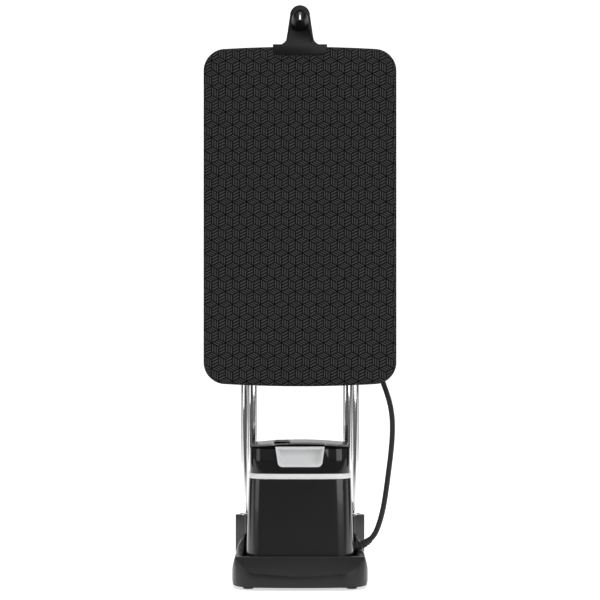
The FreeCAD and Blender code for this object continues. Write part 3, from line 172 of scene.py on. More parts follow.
def outward(piece):
    pick(piece)
    bpy.ops.object.mode_set(mode="EDIT")
    bpy.ops.mesh.select_all(action="SELECT")
    bpy.ops.mesh.normals_make_consistent(inside=False)
    bpy.ops.object.mode_set(mode="OBJECT")
    return piece


# shader tools

def newTree(name):
    material = bpy.data.materials.new(name)
    material.use_nodes = True
    tree = material.node_tree
    shader = next(n for n in tree.nodes if n.type == "BSDF_PRINCIPLED")
    return material, tree, shader


def put(tree, kind, inputs=None, **settings):
    node = tree.nodes.new(kind)
    for key, value in settings.items():
        setattr(node, key, value)
    for key, value in (inputs or {}).items():
        if isinstance(value, bpy.types.NodeSocket):
            tree.links.new(value, node.inputs[key])
        else:
            node.inputs[key].default_value = value
    return node


def calc(tree, operation, *values):
    node = tree.nodes.new("ShaderNodeMath")
    node.operation = operation
    for number, value in enumerate(values):
        if isinstance(value, bpy.types.NodeSocket):
            tree.links.new(value, node.inputs[number])
        else:
            node.inputs[number].default_value = value
    return node.outputs[0]


def ramp(tree, value, low, high, toLow=0.0, toHigh=1.0):
    node = put(tree, "ShaderNodeMapRange", {"Value": value, "From Min": low, "From Max": high,
                                            "To Min": toLow, "To Max": toHigh})
    return node.outputs["Result"]


def mixed(tree, mask, first, second):
    node = put(tree, "ShaderNodeMix", data_type="RGBA")
    for key, value in ((0, mask), (6, first), (7, second)):
        if isinstance(value, bpy.types.NodeSocket):
            tree.links.new(value, node.inputs[key])
        else:
            node.inputs[key].default_value = value
    return node.outputs[2]


def grey(level, alpha=1.0):
    return (level, level, level, alpha)


def setShader(shader, **values):
    for key, value in values.items():
        shader.inputs[key.replace("_", " ")].default_value = value


def wire(tree, socket, shader, name):
    tree.links.new(socket, shader.inputs[name])


def newGroup(name, inputs, outputs):
    group = bpy.data.node_groups.new(name, "ShaderNodeTree")
    for label, kind, value in inputs:
        socket = group.interface.new_socket(label, in_out="INPUT", socket_type=kind)
        if value is not None:
            socket.default_value = value
    for label, kind in outputs:
        group.interface.new_socket(label, in_out="OUTPUT", socket_type=kind)
    return group, put(group, "NodeGroupInput"), put(group, "NodeGroupOutput")


def makeMouldGrain():
    group, entry, leave = newGroup("mouldGrain", [
        ("Vector", "NodeSocketVector", None), ("Scale", "NodeSocketFloat", 900.0),
        ("Depth", "NodeSocketFloat", 0.1), ("Rough", "NodeSocketFloat", 0.4),
        ("Rough Spread", "NodeSocketFloat", 0.06)],
        [("Normal", "NodeSocketVector"), ("Roughness", "NodeSocketFloat"), ("Mottle", "NodeSocketFloat")])
    place = entry.outputs["Vector"]
    fine = put(group, "ShaderNodeTexNoise", {"Vector": place, "Scale": entry.outputs["Scale"],
                                             "Detail": 2.0, "Roughness": 0.6})
    broad = put(group, "ShaderNodeTexNoise", {"Vector": place, "Scale": 14.0, "Detail": 3.0})
    bump = put(group, "ShaderNodeBump", {"Strength": entry.outputs["Depth"], "Distance": 0.0004,
                                         "Height": fine.outputs[0]})
    swing = calc(group, "SUBTRACT", broad.outputs[0], 0.5)
    spread = calc(group, "MULTIPLY", swing, entry.outputs["Rough Spread"])
    group.links.new(bump.outputs[0], leave.inputs["Normal"])
    group.links.new(calc(group, "ADD", entry.outputs["Rough"], spread), leave.inputs["Roughness"])
    group.links.new(broad.outputs[0], leave.inputs["Mottle"])
    return group


def makeDust():
    group, entry, leave = newGroup("restingDust", [
        ("Vector", "NodeSocketVector", None), ("Amount", "NodeSocketFloat", 0.1)],
        [("Mask", "NodeSocketFloat")])
    normal = put(group, "ShaderNodeNewGeometry")
    up = put(group, "ShaderNodeSeparateXYZ", {"Vector": normal.outputs["Normal"]})
    speck = put(group, "ShaderNodeTexNoise", {"Vector": entry.outputs["Vector"], "Scale": 260.0,
                                              "Detail": 4.0})
    facing = ramp(group, up.outputs["Z"], 0.55, 1.0)
    grains = ramp(group, speck.outputs[0], 0.42, 0.75)
    amount = calc(group, "MULTIPLY", calc(group, "MULTIPLY", facing, grains), entry.outputs["Amount"])
    group.links.new(amount, leave.inputs["Mask"])
    return group


mouldGrain = makeMouldGrain()
restingDust = makeDust()


def objectPlace(tree):
    return put(tree, "ShaderNodeTexCoord").outputs["Object"]


def mouldedPlastic(name, colour, rough, depth=0.12, scale=1400.0, dust=0.12, **extra):
    material, tree, shader = newTree(name)
    place = objectPlace(tree)
    grain = put(tree, "ShaderNodeGroup", node_tree=mouldGrain)
    tree.links.new(place, grain.inputs["Vector"])
    grain.inputs["Scale"].default_value = scale
    grain.inputs["Depth"].default_value = depth
    grain.inputs["Rough"].default_value = rough
    settled = put(tree, "ShaderNodeGroup", node_tree=restingDust)
    tree.links.new(place, settled.inputs["Vector"])
    settled.inputs["Amount"].default_value = dust
    darker = (*[c * 0.94 for c in colour], 1)
    shade = mixed(tree, ramp(tree, grain.outputs["Mottle"], 0.3, 0.7), darker, (*colour, 1))
    wire(tree, mixed(tree, settled.outputs[0], shade, grey(0.32)), shader, "Base Color")
    wire(tree, grain.outputs["Roughness"], shader, "Roughness")
    wire(tree, grain.outputs["Normal"], shader, "Normal")
    setShader(shader, **extra)
    return material


def metalFinish(name, colour, rough, brush=(1, 1, 1), depth=0.05, streak=0.1):
    material, tree, shader = newTree(name)
    stretch = put(tree, "ShaderNodeMapping", {"Vector": objectPlace(tree), "Scale": brush})
    lines = put(tree, "ShaderNodeTexNoise", {"Vector": stretch.outputs[0], "Scale": 900.0, "Detail": 3.0})
    bump = put(tree, "ShaderNodeBump", {"Strength": depth, "Distance": 0.0002, "Height": lines.outputs[0]})
    wire(tree, bump.outputs[0], shader, "Normal")
    streaks = ramp(tree, lines.outputs[0], 0.3, 0.7, rough - streak * rough, rough + streak * rough)
    wire(tree, streaks, shader, "Roughness")
    darker = (*[c * 0.93 for c in colour], 1)
    wire(tree, mixed(tree, lines.outputs[0], darker, (*colour, 1)), shader, "Base Color")
    setShader(shader, Metallic=1.0)
    return material


def wrapped(tree, value, period):
    shifted = calc(tree, "ADD", value, period / 2)
    return calc(tree, "SUBTRACT", calc(tree, "FLOORED_MODULO", shifted, period), period / 2)


def either(tree, mask, first, second):
    keep = calc(tree, "MULTIPLY", calc(tree, "SUBTRACT", 1.0, mask), first)  # first where mask is 0
    return calc(tree, "ADD", keep, calc(tree, "MULTIPLY", mask, second))


cubes = dict(halfWide=14.53 * mm, halfHigh=7.57 * mm, drop=19.10 * mm, start=(-169.4 * mm, 491.0 * mm),
             light=0.064, dark=0.0022, barHalf=0.285, endHalf=0.42, threads=1400.0)


def bars(tree, across, along, soft=0.05):
    # three light bars across 0..1, each with dark space beside it and at both ends
    third = calc(tree, "FRACT", calc(tree, "MULTIPLY", across, 3.0))
    phase = calc(tree, "ABSOLUTE", calc(tree, "SUBTRACT", third, 0.5))
    stripe = ramp(tree, phase, cubes["barHalf"] + soft, cubes["barHalf"] - soft)
    reach = calc(tree, "ABSOLUTE", calc(tree, "SUBTRACT", along, 0.5))
    ends = ramp(tree, reach, cubes["endHalf"] + soft, cubes["endHalf"] - soft)
    return calc(tree, "MULTIPLY", stripe, ends)


def coverFabric():
    # printed cloth: a tiling of cubes, each face hatched with three bars its own way
    material, tree, shader = newTree("printedCover")
    uv = put(tree, "ShaderNodeUVMap", uv_map="cloth").outputs[0]
    flat = put(tree, "ShaderNodeSeparateXYZ", {"Vector": uv})
    wide, high, drop = cubes["halfWide"], cubes["halfHigh"], cubes["drop"]
    row = high + drop
    x = calc(tree, "SUBTRACT", flat.outputs["X"], cubes["start"][0])
    z = calc(tree, "SUBTRACT", flat.outputs["Y"], cubes["start"][1])

    def cell(shiftX, shiftZ):
        localX = wrapped(tree, calc(tree, "SUBTRACT", x, shiftX), 2 * wide)
        up = calc(tree, "ADD", calc(tree, "SUBTRACT", z, shiftZ), 2 * row - high)
        localZ = calc(tree, "SUBTRACT", calc(tree, "FLOORED_MODULO", up, 2 * row), 2 * row - high)
        outer = calc(tree, "DIVIDE", calc(tree, "ABSOLUTE", localX), wide)
        slope = calc(tree, "MULTIPLY", calc(tree, "SUBTRACT", 1.0, outer), high)
        return localX, localZ, slope

    firstX, firstZ, firstSlope = cell(0.0, 0.0)
    otherX, otherZ, otherSlope = cell(wide, row)
    above = calc(tree, "LESS_THAN", firstZ, firstSlope)
    below = calc(tree, "GREATER_THAN", firstZ, calc(tree, "SUBTRACT", -drop, firstSlope))
    inFirst = calc(tree, "MULTIPLY", above, below)
    localX = either(tree, inFirst, otherX, firstX)
    localZ = either(tree, inFirst, otherZ, firstZ)
    slope = either(tree, inFirst, otherSlope, firstSlope)
    onTop = calc(tree, "LESS_THAN", calc(tree, "ABSOLUTE", localZ), slope)
    acrossX = calc(tree, "DIVIDE", localX, 2 * wide)
    acrossZ = calc(tree, "DIVIDE", localZ, 2 * high)
    topBars = bars(tree, calc(tree, "ADD", calc(tree, "ADD", acrossX, acrossZ), 0.5),
                   calc(tree, "ADD", calc(tree, "SUBTRACT", acrossX, acrossZ), 0.5))
    depth = calc(tree, "DIVIDE", calc(tree, "SUBTRACT", calc(tree, "MULTIPLY", slope, -1.0), localZ), drop)
    side = calc(tree, "ABSOLUTE", calc(tree, "DIVIDE", localX, wide))
    leftBars = bars(tree, side, depth)
    rightBars = bars(tree, depth, side)
    onRight = calc(tree, "GREATER_THAN", localX, 0.0)
    printed = either(tree, onTop, either(tree, onRight, leftBars, rightBars), topBars)

    count = cubes["threads"]
    threads = put(tree, "ShaderNodeMapping", {"Vector": uv, "Scale": (count, count, 1.0)})
    thread = put(tree, "ShaderNodeSeparateXYZ", {"Vector": threads.outputs[0]})
    weave = calc(tree, "MULTIPLY", calc(tree, "SINE", calc(tree, "MULTIPLY", thread.outputs["X"], math.pi)),
                 calc(tree, "SINE", calc(tree, "MULTIPLY", thread.outputs["Y"], math.pi)))
    slub = put(tree, "ShaderNodeTexNoise", {"Vector": uv, "Scale": 90.0, "Detail": 5.0, "Roughness": 0.65})
    shade = ramp(tree, slub.outputs[0], 0.3, 0.7, 0.86, 1.12)
    dark, light = cubes["dark"], cubes["light"]
    ink = mixed(tree, printed, (dark, dark, dark * 1.04, 1), (light, light, light * 1.02, 1))
    tinted = put(tree, "ShaderNodeVectorMath", {"Scale": shade}, operation="SCALE")
    tree.links.new(ink, tinted.inputs[0])
    wire(tree, tinted.outputs[0], shader, "Base Color")
    height = calc(tree, "ADD", calc(tree, "MULTIPLY", weave, 0.5), calc(tree, "MULTIPLY", printed, 0.6))
    bump = put(tree, "ShaderNodeBump", {"Strength": 0.35, "Distance": 0.00015, "Height": height})
    wire(tree, bump.outputs[0], shader, "Normal")
    wire(tree, ramp(tree, slub.outputs[0], 0.3, 0.7, 0.78, 0.9), shader, "Roughness")
    setShader(shader, Sheen_Weight=0.01, Sheen_Roughness=0.5, Specular_IOR_Level=0.08)
    return material


braid = dict(strands=6, pitch=3.4 * mm)


def braidedSleeve():
    material, tree, shader = newTree("braidedSleeve")
    uv = put(tree, "ShaderNodeUVMap", uv_map="cloth").outputs[0]
    flat = put(tree, "ShaderNodeSeparateXYZ", {"Vector": uv})
    around = calc(tree, "MULTIPLY", flat.outputs["X"], 2 * math.pi * braid["strands"])
    along = calc(tree, "MULTIPLY", flat.outputs["Y"], 2 * math.pi / braid["pitch"])
    rising = calc(tree, "SINE", calc(tree, "ADD", around, along))
    falling = calc(tree, "SINE", calc(tree, "SUBTRACT", around, along))
    strand = calc(tree, "MAXIMUM", rising, falling)
    fuzz = put(tree, "ShaderNodeTexNoise", {"Vector": objectPlace(tree), "Scale": 1600.0, "Detail": 3.0})
    height = calc(tree, "ADD", strand, calc(tree, "MULTIPLY", fuzz.outputs[0], 0.6))
    bump = put(tree, "ShaderNodeBump", {"Strength": 0.8, "Distance": 0.0004, "Height": height})
    wire(tree, bump.outputs[0], shader, "Normal")
    # the grooves between strands are painted darker than the crests: painted shade in the braid's hollows
    wire(tree, mixed(tree, ramp(tree, strand, 0.2, 1.0), grey(0.012), grey(0.048)), shader, "Base Color")
    setShader(shader, Roughness=0.85, Sheen_Weight=0.15, Specular_IOR_Level=0.3)
    return material


def foamBlock():
    material, tree, shader = newTree("openFoam")
    cells = put(tree, "ShaderNodeTexVoronoi", {"Vector": objectPlace(tree), "Scale": 900.0})
    bump = put(tree, "ShaderNodeBump", {"Strength": 0.6, "Distance": 0.0006, "Height": cells.outputs[0]})
    wire(tree, bump.outputs[0], shader, "Normal")
    # the sunken middles of the cells are painted dark grey and the rims pale: painted shade inside the pores
    wire(tree, mixed(tree, cells.outputs[0], grey(0.16), (0.5, 0.49, 0.45, 1)), shader, "Base Color")
    setShader(shader, Roughness=0.95)
    return material


def smokedClear():
    material, tree, shader = newTree("smokedClear")
    haze = put(tree, "ShaderNodeTexNoise", {"Vector": objectPlace(tree), "Scale": 30.0, "Detail": 3.0})
    wire(tree, ramp(tree, haze.outputs[0], 0.3, 0.7, 0.05, 0.09), shader, "Roughness")
    tint = mixed(tree, haze.outputs[0], (0.018, 0.018, 0.02, 1), (0.03, 0.03, 0.033, 1))
    wire(tree, tint, shader, "Base Color")
    setShader(shader, Transmission_Weight=0.55, IOR=1.49)
    return material


finishes = {  # by slot: name, colour, roughness, grain depth, grain scale, dust
    "gloss_shell": mouldedPlastic("glossShell", (0.015, 0.015, 0.016), 0.16, 0.02, 60.0, 0.03, IOR=1.5,
                                  Coat_Weight=0.4),
    "satin_base": mouldedPlastic("satinBase", (0.006, 0.006, 0.007), 0.32, 0.06, 1500.0, 0.02,
                                 Specular_IOR_Level=0.4),
    "satin_black": mouldedPlastic("satinBlack", (0.0045, 0.0045, 0.005), 0.42, 0.12, 1500.0, 0.02,
                                  Specular_IOR_Level=0.3),
    "white_trim": mouldedPlastic("whiteTrim", (0.95, 0.95, 0.95), 0.25, 0.02, 300.0, 0.0),
    "silver_grip": mouldedPlastic("silverGrip", (0.84, 0.845, 0.85), 0.30, 0.03, 1200.0, 0.0),
    "smoked": smokedClear(),
    "smoked_lid": mouldedPlastic("smokedLid", (0.004, 0.004, 0.005), 0.22, 0.02, 60.0, 0.0,
                                 Specular_IOR_Level=0.02),
    "chrome_tube": metalFinish("chromeTube", (0.90, 0.90, 0.91), 0.07, (1, 1, 0.02), 0.02),
    "steel": metalFinish("zincSteel", (0.56, 0.57, 0.58), 0.34, (0.2, 1, 1), 0.12),
    "sheet_metal": mouldedPlastic("powderCoat", (0.018, 0.018, 0.019), 0.5, 0.35, 2200.0, 0.06),
    "sole": metalFinish("polishedSole", (0.72, 0.73, 0.75), 0.16, (1, 1, 0.03), 0.06),
    "rubber_black": mouldedPlastic("softRubber", (0.014, 0.014, 0.014), 0.7, 0.3, 900.0, 0.1),
    "tyre_rubber": mouldedPlastic("hardRubber", (0.02, 0.02, 0.02), 0.6, 0.3, 700.0, 0.12),
    "cover_fabric": coverFabric(),
    "foam": foamBlock(),
    "pan_plastic": mouldedPlastic("panPlastic", (0.016, 0.016, 0.017), 0.5, 0.3, 1100.0, 0.08),
    "hose_textile": braidedSleeve(),
    "board_green": mouldedPlastic("boardGreen", (0.01, 0.09, 0.03), 0.4, 0.1, 800.0, 0.1),
    "copper": metalFinish("copperPipe", (0.75, 0.42, 0.28), 0.3, (1, 1, 1), 0.1),
    "head_white": mouldedPlastic("headWhite", (0.72, 0.73, 0.74), 0.22, 0.02, 300.0, 0.02),
}
for node, piece in frame["nodes"].items():
    for number in range(len(piece.material_slots)):
        piece.material_slots[number].material = finishes[slotOfNode[node]]
print("finishes:", len(finishes))


# steam hose

hose = dict(
    radius=5.5 * mm, sides=20, rings=0.4 * mm,  # rings: the least distance between two
    route=[  # the same points as the hose in the CAD source, in metres
        (0.109, -0.050, 0.0724), (0.121, -0.050, 0.0743), (0.133, -0.0495, 0.0793), (0.145, -0.048, 0.0877),
        (0.1546, -0.0455, 0.0992), (0.1615, -0.042, 0.1147), (0.168, -0.037, 0.1346), (0.174, -0.030, 0.160),
        (0.179, -0.022, 0.190), (0.184, -0.012, 0.224), (0.189, -0.001, 0.258), (0.193, 0.011, 0.294),
        (0.194, 0.024, 0.329), (0.190, 0.038, 0.361), (0.181, 0.052, 0.391), (0.169, 0.066, 0.423),
        (0.156, 0.080, 0.458), (0.143, 0.092, 0.497), (0.129, 0.101, 0.541), (0.116, 0.1055, 0.588),
        (0.1075, 0.1055, 0.635),
    ],
    coil=dict(centre=(0.045, 0.680), radius=0.0605, start=0.104, slack=0.0118, last=0.140, perTurn=14),
    boot=(-0.015, 0.140, 0.623),
)


def coilPoints():
    coil = hose["coil"]
    (cx, cz), r = coil["centre"], coil["radius"]
    points = []
    steps = int(2.5 * coil["perTurn"])
    for step in range(steps + 1):
        turns = step / coil["perTurn"]
        angle = 2 * math.pi * turns
        if turns <= 2:
            y = coil["start"] + coil["slack"] * turns
        else:
            share = (turns - 2) / 0.5
            early = coil["start"] + 2 * coil["slack"]
            y = early + (coil["last"] - early) * share * share * (3 - 2 * share)
        points.append((cx + r * math.cos(angle), y, cz + r * math.sin(angle)))
    return points


def routeLine(name, points):
    curve = bpy.data.curves.new(name, "CURVE")
    curve.dimensions = "3D"
    curve.resolution_u = 10
    spline = curve.splines.new("NURBS")
    spline.points.add(len(points) - 1)
    for place, point in zip(points, spline.points):
        point.co = (*place, 1)
    spline.order_u = 3
    spline.use_endpoint_u = True
    piece = bpy.data.objects.new(name, curve)
    bpy.context.collection.objects.link(piece)
    bpy.context.view_layer.update()
    mesh = bpy.data.meshes.new_from_object(piece.evaluated_get(bpy.context.evaluated_depsgraph_get()))
    line = [Vector(v.co) for v in mesh.vertices]
    bpy.data.meshes.remove(mesh)
    bpy.data.objects.remove(piece)
    kept = line[:1]
    for point in line[1:]:
        if (point - kept[-1]).length > hose["rings"]:
            kept.append(point)
    return kept


def tubeAlong(name, line, radiusAt, sides):
    # a ring of corners carried along the line without twisting; cloth UV: turns, metres
    verts, faces, uvs = [], [], []
    side = Vector((0, 0, 1))
    travelled = [0.0]
    for a, b in zip(line, line[1:]):
        travelled.append(travelled[-1] + (b - a).length)
    for number, point in enumerate(line):
        ahead = (line[min(number + 1, len(line) - 1)] - line[max(number - 1, 0)]).normalized()
        side = (side - ahead * side.dot(ahead)).normalized()
        other = ahead.cross(side)
        for k in range(sides):
            turn = 2 * math.pi * k / sides
            out = side * math.cos(turn) + other * math.sin(turn)
            verts.append(point + out * radiusAt(travelled[number]))
    for ring in range(len(line) - 1):
        for k in range(sides):
            n = (k + 1) % sides
            here, after = ring * sides, (ring + 1) * sides
            faces.append((here + k, here + n, after + n, after + k))
            low, high = travelled[ring], travelled[ring + 1]
            uvs.append([(k / sides, low), ((k + 1) / sides, low), ((k + 1) / sides, high), (k / sides, high)])
    faces.append(tuple(reversed(range(sides))))
    faces.append(tuple(range((len(line) - 1) * sides, len(line) * sides)))
    piece = meshPiece(name, verts, faces)
    layer = piece.data.uv_layers.new(name="cloth")
    flat = [uv for corners in uvs for uv in corners] + [(0, 0)] * (2 * sides)
    for loop, uv in zip(layer.data, flat):
        loop.uv = uv
    return smoothed(piece, 60)


def makeHose():
    bx, by, bz = hose["boot"]
    points = hose["route"] + coilPoints()
    points += [(bx - 0.0003, by, 0.664), (bx, by, 0.650), (bx, by, 0.637), (bx, by, bz)]
    line = routeLine("hoseRoute", points)
    piece = tubeAlong("steamHose", line, lambda along: hose["radius"], hose["sides"])
    piece.data.materials.append(finishes["hose_textile"])
    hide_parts("hose_lower", "hose_coil", "hose_upper")
    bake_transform(piece)
    return piece


makeHose()


# ironing board

board = dict(halfWide=201 * mm, low=400 * mm, high=1108 * mm, corner=42 * mm, crown=7.5 * mm,
             cornerSteps=12, sideSteps=30, endSteps=18)


def boardLoop(inset):
    # corner points of the board's outline, drawn in; the same count for every inset
    half = board["halfWide"] - inset
    corner = max(board["corner"] - inset, 4 * mm)
    low, high = board["low"] + inset, board["high"] - inset
    crown = board["crown"]
    points = []

    def crownAt(x):
        return crown * (x / board["halfWide"]) ** 2

    for signX, signZ, first in ((1, -1, -90), (1, 1, 0), (-1, 1, 90), (-1, -1, 180)):
        sideZ = low if signZ < 0 else high
        for step in range(board["cornerSteps"] + 1):
            turn = math.radians(first + 90 * step / board["cornerSteps"])
            x = signX * (half - corner) + corner * math.cos(turn)
            past = max(0, abs(x) - half + corner)
            bow = crownAt(min(abs(x), half - corner)) + 0.4 * crown * past / corner
            z = sideZ - signZ * corner + corner * math.sin(turn) - signZ * bow
            points.append((x, z))
        if signX * signZ < 0:
            endZ = high - corner - crown if signX > 0 else low + corner + crown
            a, b = points[-1], (signX * half, endZ)
            for step in range(1, board["sideSteps"]):
                share = step / board["sideSteps"]
                points.append((a[0] + (b[0] - a[0]) * share, a[1] + (b[1] - a[1]) * share))
        else:
            x0, span = signX * (half - corner), -signX * 2 * (half - corner)
            for step in range(1, board["endSteps"]):
                x = x0 + span * step / board["endSteps"]
                points.append((x, sideZ - signZ * crownAt(x)))
    return points


def bandFaces(rings, count):
    # the faces between each ring of corners and the next, looking out
    faces = []
    for ring in range(rings - 1):
        here, after = ring * count, (ring + 1) * count
        for k in range(count):
            n = (k + 1) % count
            faces.append((here + n, here + k, after + k, after + n))
    return faces


cover = dict(front=-6 * mm, back=21 * mm, edgeRound=7.5 * mm, hem=26 * mm, cloth=0.8 * mm, turned=42 * mm,
             faceInsets=(190, 150, 110, 75, 45, 25, 14), share=0.955)


def makeCover():
    # rings from the middle of the face, over the rounded edge, down the side and round to the hem
    r, front, back, hem, rings = cover["edgeRound"], cover["front"], cover["back"], cover["hem"], []
    for inset in cover["faceInsets"]:
        rings.append((inset * mm, front, inset * mm))
    for step in range(7):
        turn = math.radians(90 * step / 6)
        rings.append((r - r * math.sin(turn), front + r - r * math.cos(turn), r - r * turn))
    sideLength = back - front - r
    for step in range(1, 4):
        y = front + r + (sideLength - 2 * mm) * step / 3
        rings.append((0.0, y, -(y - front - r) - r * (math.pi / 2 - 1)))
    under = rings[-1][2] - 2 * mm
    rings.append((0.7 * mm, back - 0.5 * mm, under))
    rings.append((2.4 * mm, back, under - 2 * mm))
    rings.append((hem * 0.6, back - 0.1 * mm, under - 16 * mm))
    rings.append((hem, back - 0.2 * mm, under - 26 * mm))
    verts, uvs = [], []
    for inset, y, reach in rings:
        for (x, z), (ux, uz) in zip(boardLoop(inset), boardLoop(max(reach, -60 * mm))):
            verts.append((x, y, z))
            uvs.append((ux, uz))
    count = len(boardLoop(0.0))
    faces = bandFaces(len(rings), count) + [tuple(range(count))]
    piece = meshPiece("boardCover", verts, faces)
    layer = piece.data.uv_layers.new(name="cloth")
    for loop in piece.data.loops:
        layer.data[loop.index].uv = uvs[loop.vertex_index]
    outward(piece)
    modify(piece, "SOLIDIFY", thickness=cover["cloth"], offset=-1)
    smoothed(piece, 50)
    finishPiece(piece, "board", finishes["cover_fabric"], ["board_cover"])
    return piece


makeCover()


# the rest of the moulded and bent pieces, their edges eased

easedEdges = {  # node: how wide its edges are rounded, in millimetres
    "base_shell": 2.2, "base_bottom_plate": 0.8, "rubber_feet": 1.0, "pole_socket_left": 1.0,
    "pole_socket_right": 1.0, "lower_crosshead": 1.6, "upper_crosshead": 1.6, "iron_rest": 1.2,
    "rest_pads": 0.8, "hose_hook": 1.6, "trim_ring": 1.2, "tank_deck": 0.6, "button_bezel": 0.5,
    "hose_gland": 0.6, "cord_gland": 0.8, "tilt_bridge": 1.6, "board_pan": 0.8, "board_bracket": 0.8,
    "hanger_hook": 1.3,
    "tilt_lever": 1.0, "lock_pin": 0.4, "clamp_lever_left": 2.0, "clamp_lever_right": 2.0, "tank_body": 0.9,
    "tank_lid": 1.2, "tank_handle": 1.5, "tank_valve": 0.6, "filler_cap": 0.5, "power_button": 0.3,
    "iron_soleplate": 1.0, "iron_body": 2.5, "iron_handle": 1.2, "iron_boot": 0.5, "steam_trigger": 1.4,
    "wheel_left": 0.6, "wheel_right": 0.6, "wheel_axle": 0.5, "hinge_axle": 0.8, "front_pole_left": 0.4,
    "front_pole_right": 0.4, "rear_pole_left": 0.4, "rear_pole_right": 0.4, "lever_pin_left": 0.4,
    "lever_pin_right": 0.4, "boiler": 1.0, "pump": 0.8,
}


def camelName(node):
    first, *rest = node.split("_")
    return first + "".join(word.title() for word in rest)


def easeEdges():
    for node, width in easedEdges.items():
        softened(node, camelName(node) + "Soft", width * mm, finishes[slotOfNode[node]])
    print("eased pieces:", len(easedEdges))


easeEdges()


# the glossy housing, drawn out of many levels so that its front reflects evenly

housing = dict(
    low=45 * mm, high=219 * mm, footHalf=109 * mm, topHalf=104 * mm, front=-131 * mm, lean=5 * mm,
    back=28 * mm, bow=6 * mm, nose=32 * mm, tail=16 * mm, wall=2.6 * mm, edge=0.8 * mm, levels=24,
    holes=[  # centre, radius, depth and axis: power button, hose gland, mains inlet
        ((103 * mm, -40 * mm, 155 * mm), 10.9 * mm, 40 * mm, "X"),
        ((103 * mm, -50 * mm, 73 * mm), 9 * mm, 40 * mm, "X"),
        ((-60 * mm, 27 * mm, 106 * mm), 9 * mm, 30 * mm, "Y"),
    ],
)


def arcThrough(start, via, end, steps):
    # the points of the circle through three points, from start up to but not including end
    (ax, ay), (bx, by), (cx, cy) = start, via, end
    d = 2 * (ax * (by - cy) + bx * (cy - ay) + cx * (ay - by))
    aa, bb, cc = ax * ax + ay * ay, bx * bx + by * by, cx * cx + cy * cy
    ux = (aa * (by - cy) + bb * (cy - ay) + cc * (ay - by)) / d
    uy = (aa * (cx - bx) + bb * (ax - cx) + cc * (bx - ax)) / d
    r = math.hypot(ax - ux, ay - uy)
    first, last = math.atan2(ay - uy, ax - ux), math.atan2(cy - uy, cx - ux)
    turn = (last - first + math.pi) % (2 * math.pi) - math.pi
    return [(ux + r * math.cos(first + turn * k / steps), uy + r * math.sin(first + turn * k / steps))
            for k in range(steps)]


def housingSection(share, inset):
    half = housing["footHalf"] + (housing["topHalf"] - housing["footHalf"]) * share - inset
    front = housing["front"] + housing["lean"] * share + inset
    back, bow = housing["back"] - inset, housing["bow"]
    nose, tail = housing["nose"] - inset, housing["tail"] - inset
    bend, tailBend = nose * 0.293, tail * 0.293
    side = front + bow + nose
    shoulder, cheek = front + bow / 2, front + bow * 0.75 + bend
    points = arcThrough((-half, side), (-half + bend, cheek), (-half + nose, shoulder), 14)
    points += arcThrough((-half + nose, shoulder), (0, front), (half - nose, shoulder), 40)
    points += arcThrough((half - nose, shoulder), (half - bend, cheek), (half, side), 14)
    points += [(half, side + (back - tail - side) * k / 10) for k in range(10)]
    points += arcThrough((half, back - tail), (half - tailBend, back - tailBend), (half - tail, back), 10)
    points += [(half - tail + 2 * (tail - half) * k / 16, back) for k in range(16)]
    points += arcThrough((-half + tail, back), (-half + tailBend, back - tailBend), (-half, back - tail), 10)
    points += [(-half, back - tail + (side - back + tail) * k / 10) for k in range(10)]
    return points


def stackedRings(name, rings):
    # closed rings of equal count joined in order, and the last back to the first
    count = len(rings[0])
    verts = [point for ring in rings for point in ring]
    faces = []
    for ring in range(len(rings)):
        here, after = ring * count, (ring + 1) % len(rings) * count
        for k in range(count):
            n = (k + 1) % count
            faces.append((here + k, here + n, after + n, after + k))
    return outward(meshPiece(name, verts, faces))


def cutHole(piece, centre, radius, depth, axis):
    turned = {"X": (0, math.pi / 2, 0), "Y": (math.pi / 2, 0, 0)}[axis]
    deselect()
    bpy.ops.mesh.primitive_cylinder_add(vertices=48, radius=radius, depth=depth, location=centre,
                                        rotation=turned)
    drill = added("drill")
    settle(drill)
    modify(piece, "BOOLEAN", object=drill, operation="DIFFERENCE", solver="EXACT")
    bpy.data.objects.remove(drill)


def makeHousing():
    span, wall, edge = housing["high"] - housing["low"], housing["wall"], housing["edge"]
    rings = []
    for step in range(housing["levels"] + 1):
        share = step / housing["levels"]
        rings.append([(x, y, housing["low"] + span * share) for x, y in housingSection(share, 0.0)])
    for down, inset in ((0.0, edge), (0.0, wall - edge * 0.5)):
        rings.append([(x, y, housing["high"] - down) for x, y in housingSection(1.0, inset)])
    rings[-3] = [(x, y, housing["high"] - edge) for x, y in housingSection(1.0, 0.0)]
    for share in (0.98, 0.6, 0.3, 0.02):
        rings.append([(x, y, housing["low"] + span * share) for x, y in housingSection(share, wall)])
    rings.append([(x, y, housing["low"]) for x, y in housingSection(0.0, wall)])
    piece = stackedRings("housingSkin", rings)
    for centre, radius, depth, axis in housing["holes"]:
        cutHole(piece, centre, radius, depth, axis)
    smoothed(piece, 30)
    finishPiece(piece, "root", finishes["gloss_shell"], ["housing_shell"])
    print("housing: corner points", len(piece.data.vertices))


makeHousing()


# foam pad under the cover

foam = dict(front=-4.9 * mm, back=4.8 * mm, inset=1.4 * mm, edgeRound=6 * mm, middle=150 * mm)


def makeFoamPad():
    front, back, inset = foam["front"], foam["back"], foam["inset"]
    r, middle = foam["edgeRound"], foam["middle"]
    rings = [(middle, front), (60 * mm, front), (14 * mm, front)]
    for step in range(5):
        turn = math.radians(90 * step / 4)
        rings.append((inset + r * (1 - math.sin(turn)), front + r * (1 - math.cos(turn))))
    rings += [(inset, back), (middle, back)]
    verts = [(x, y, z) for inset, y in rings for x, z in boardLoop(inset)]
    count = len(boardLoop(0.0))
    last = (len(rings) - 1) * count
    faces = [tuple(range(count)), tuple(reversed(range(last, last + count)))] + bandFaces(len(rings), count)
    piece = outward(meshPiece("foamPad", verts, faces))
    smoothed(piece, 45)
    finishPiece(piece, "board", finishes["foam"], ["board_foam"])
    print("foam pad: rings", len(rings))


makeFoamPad()


# fine ribs inside the tank's front wall

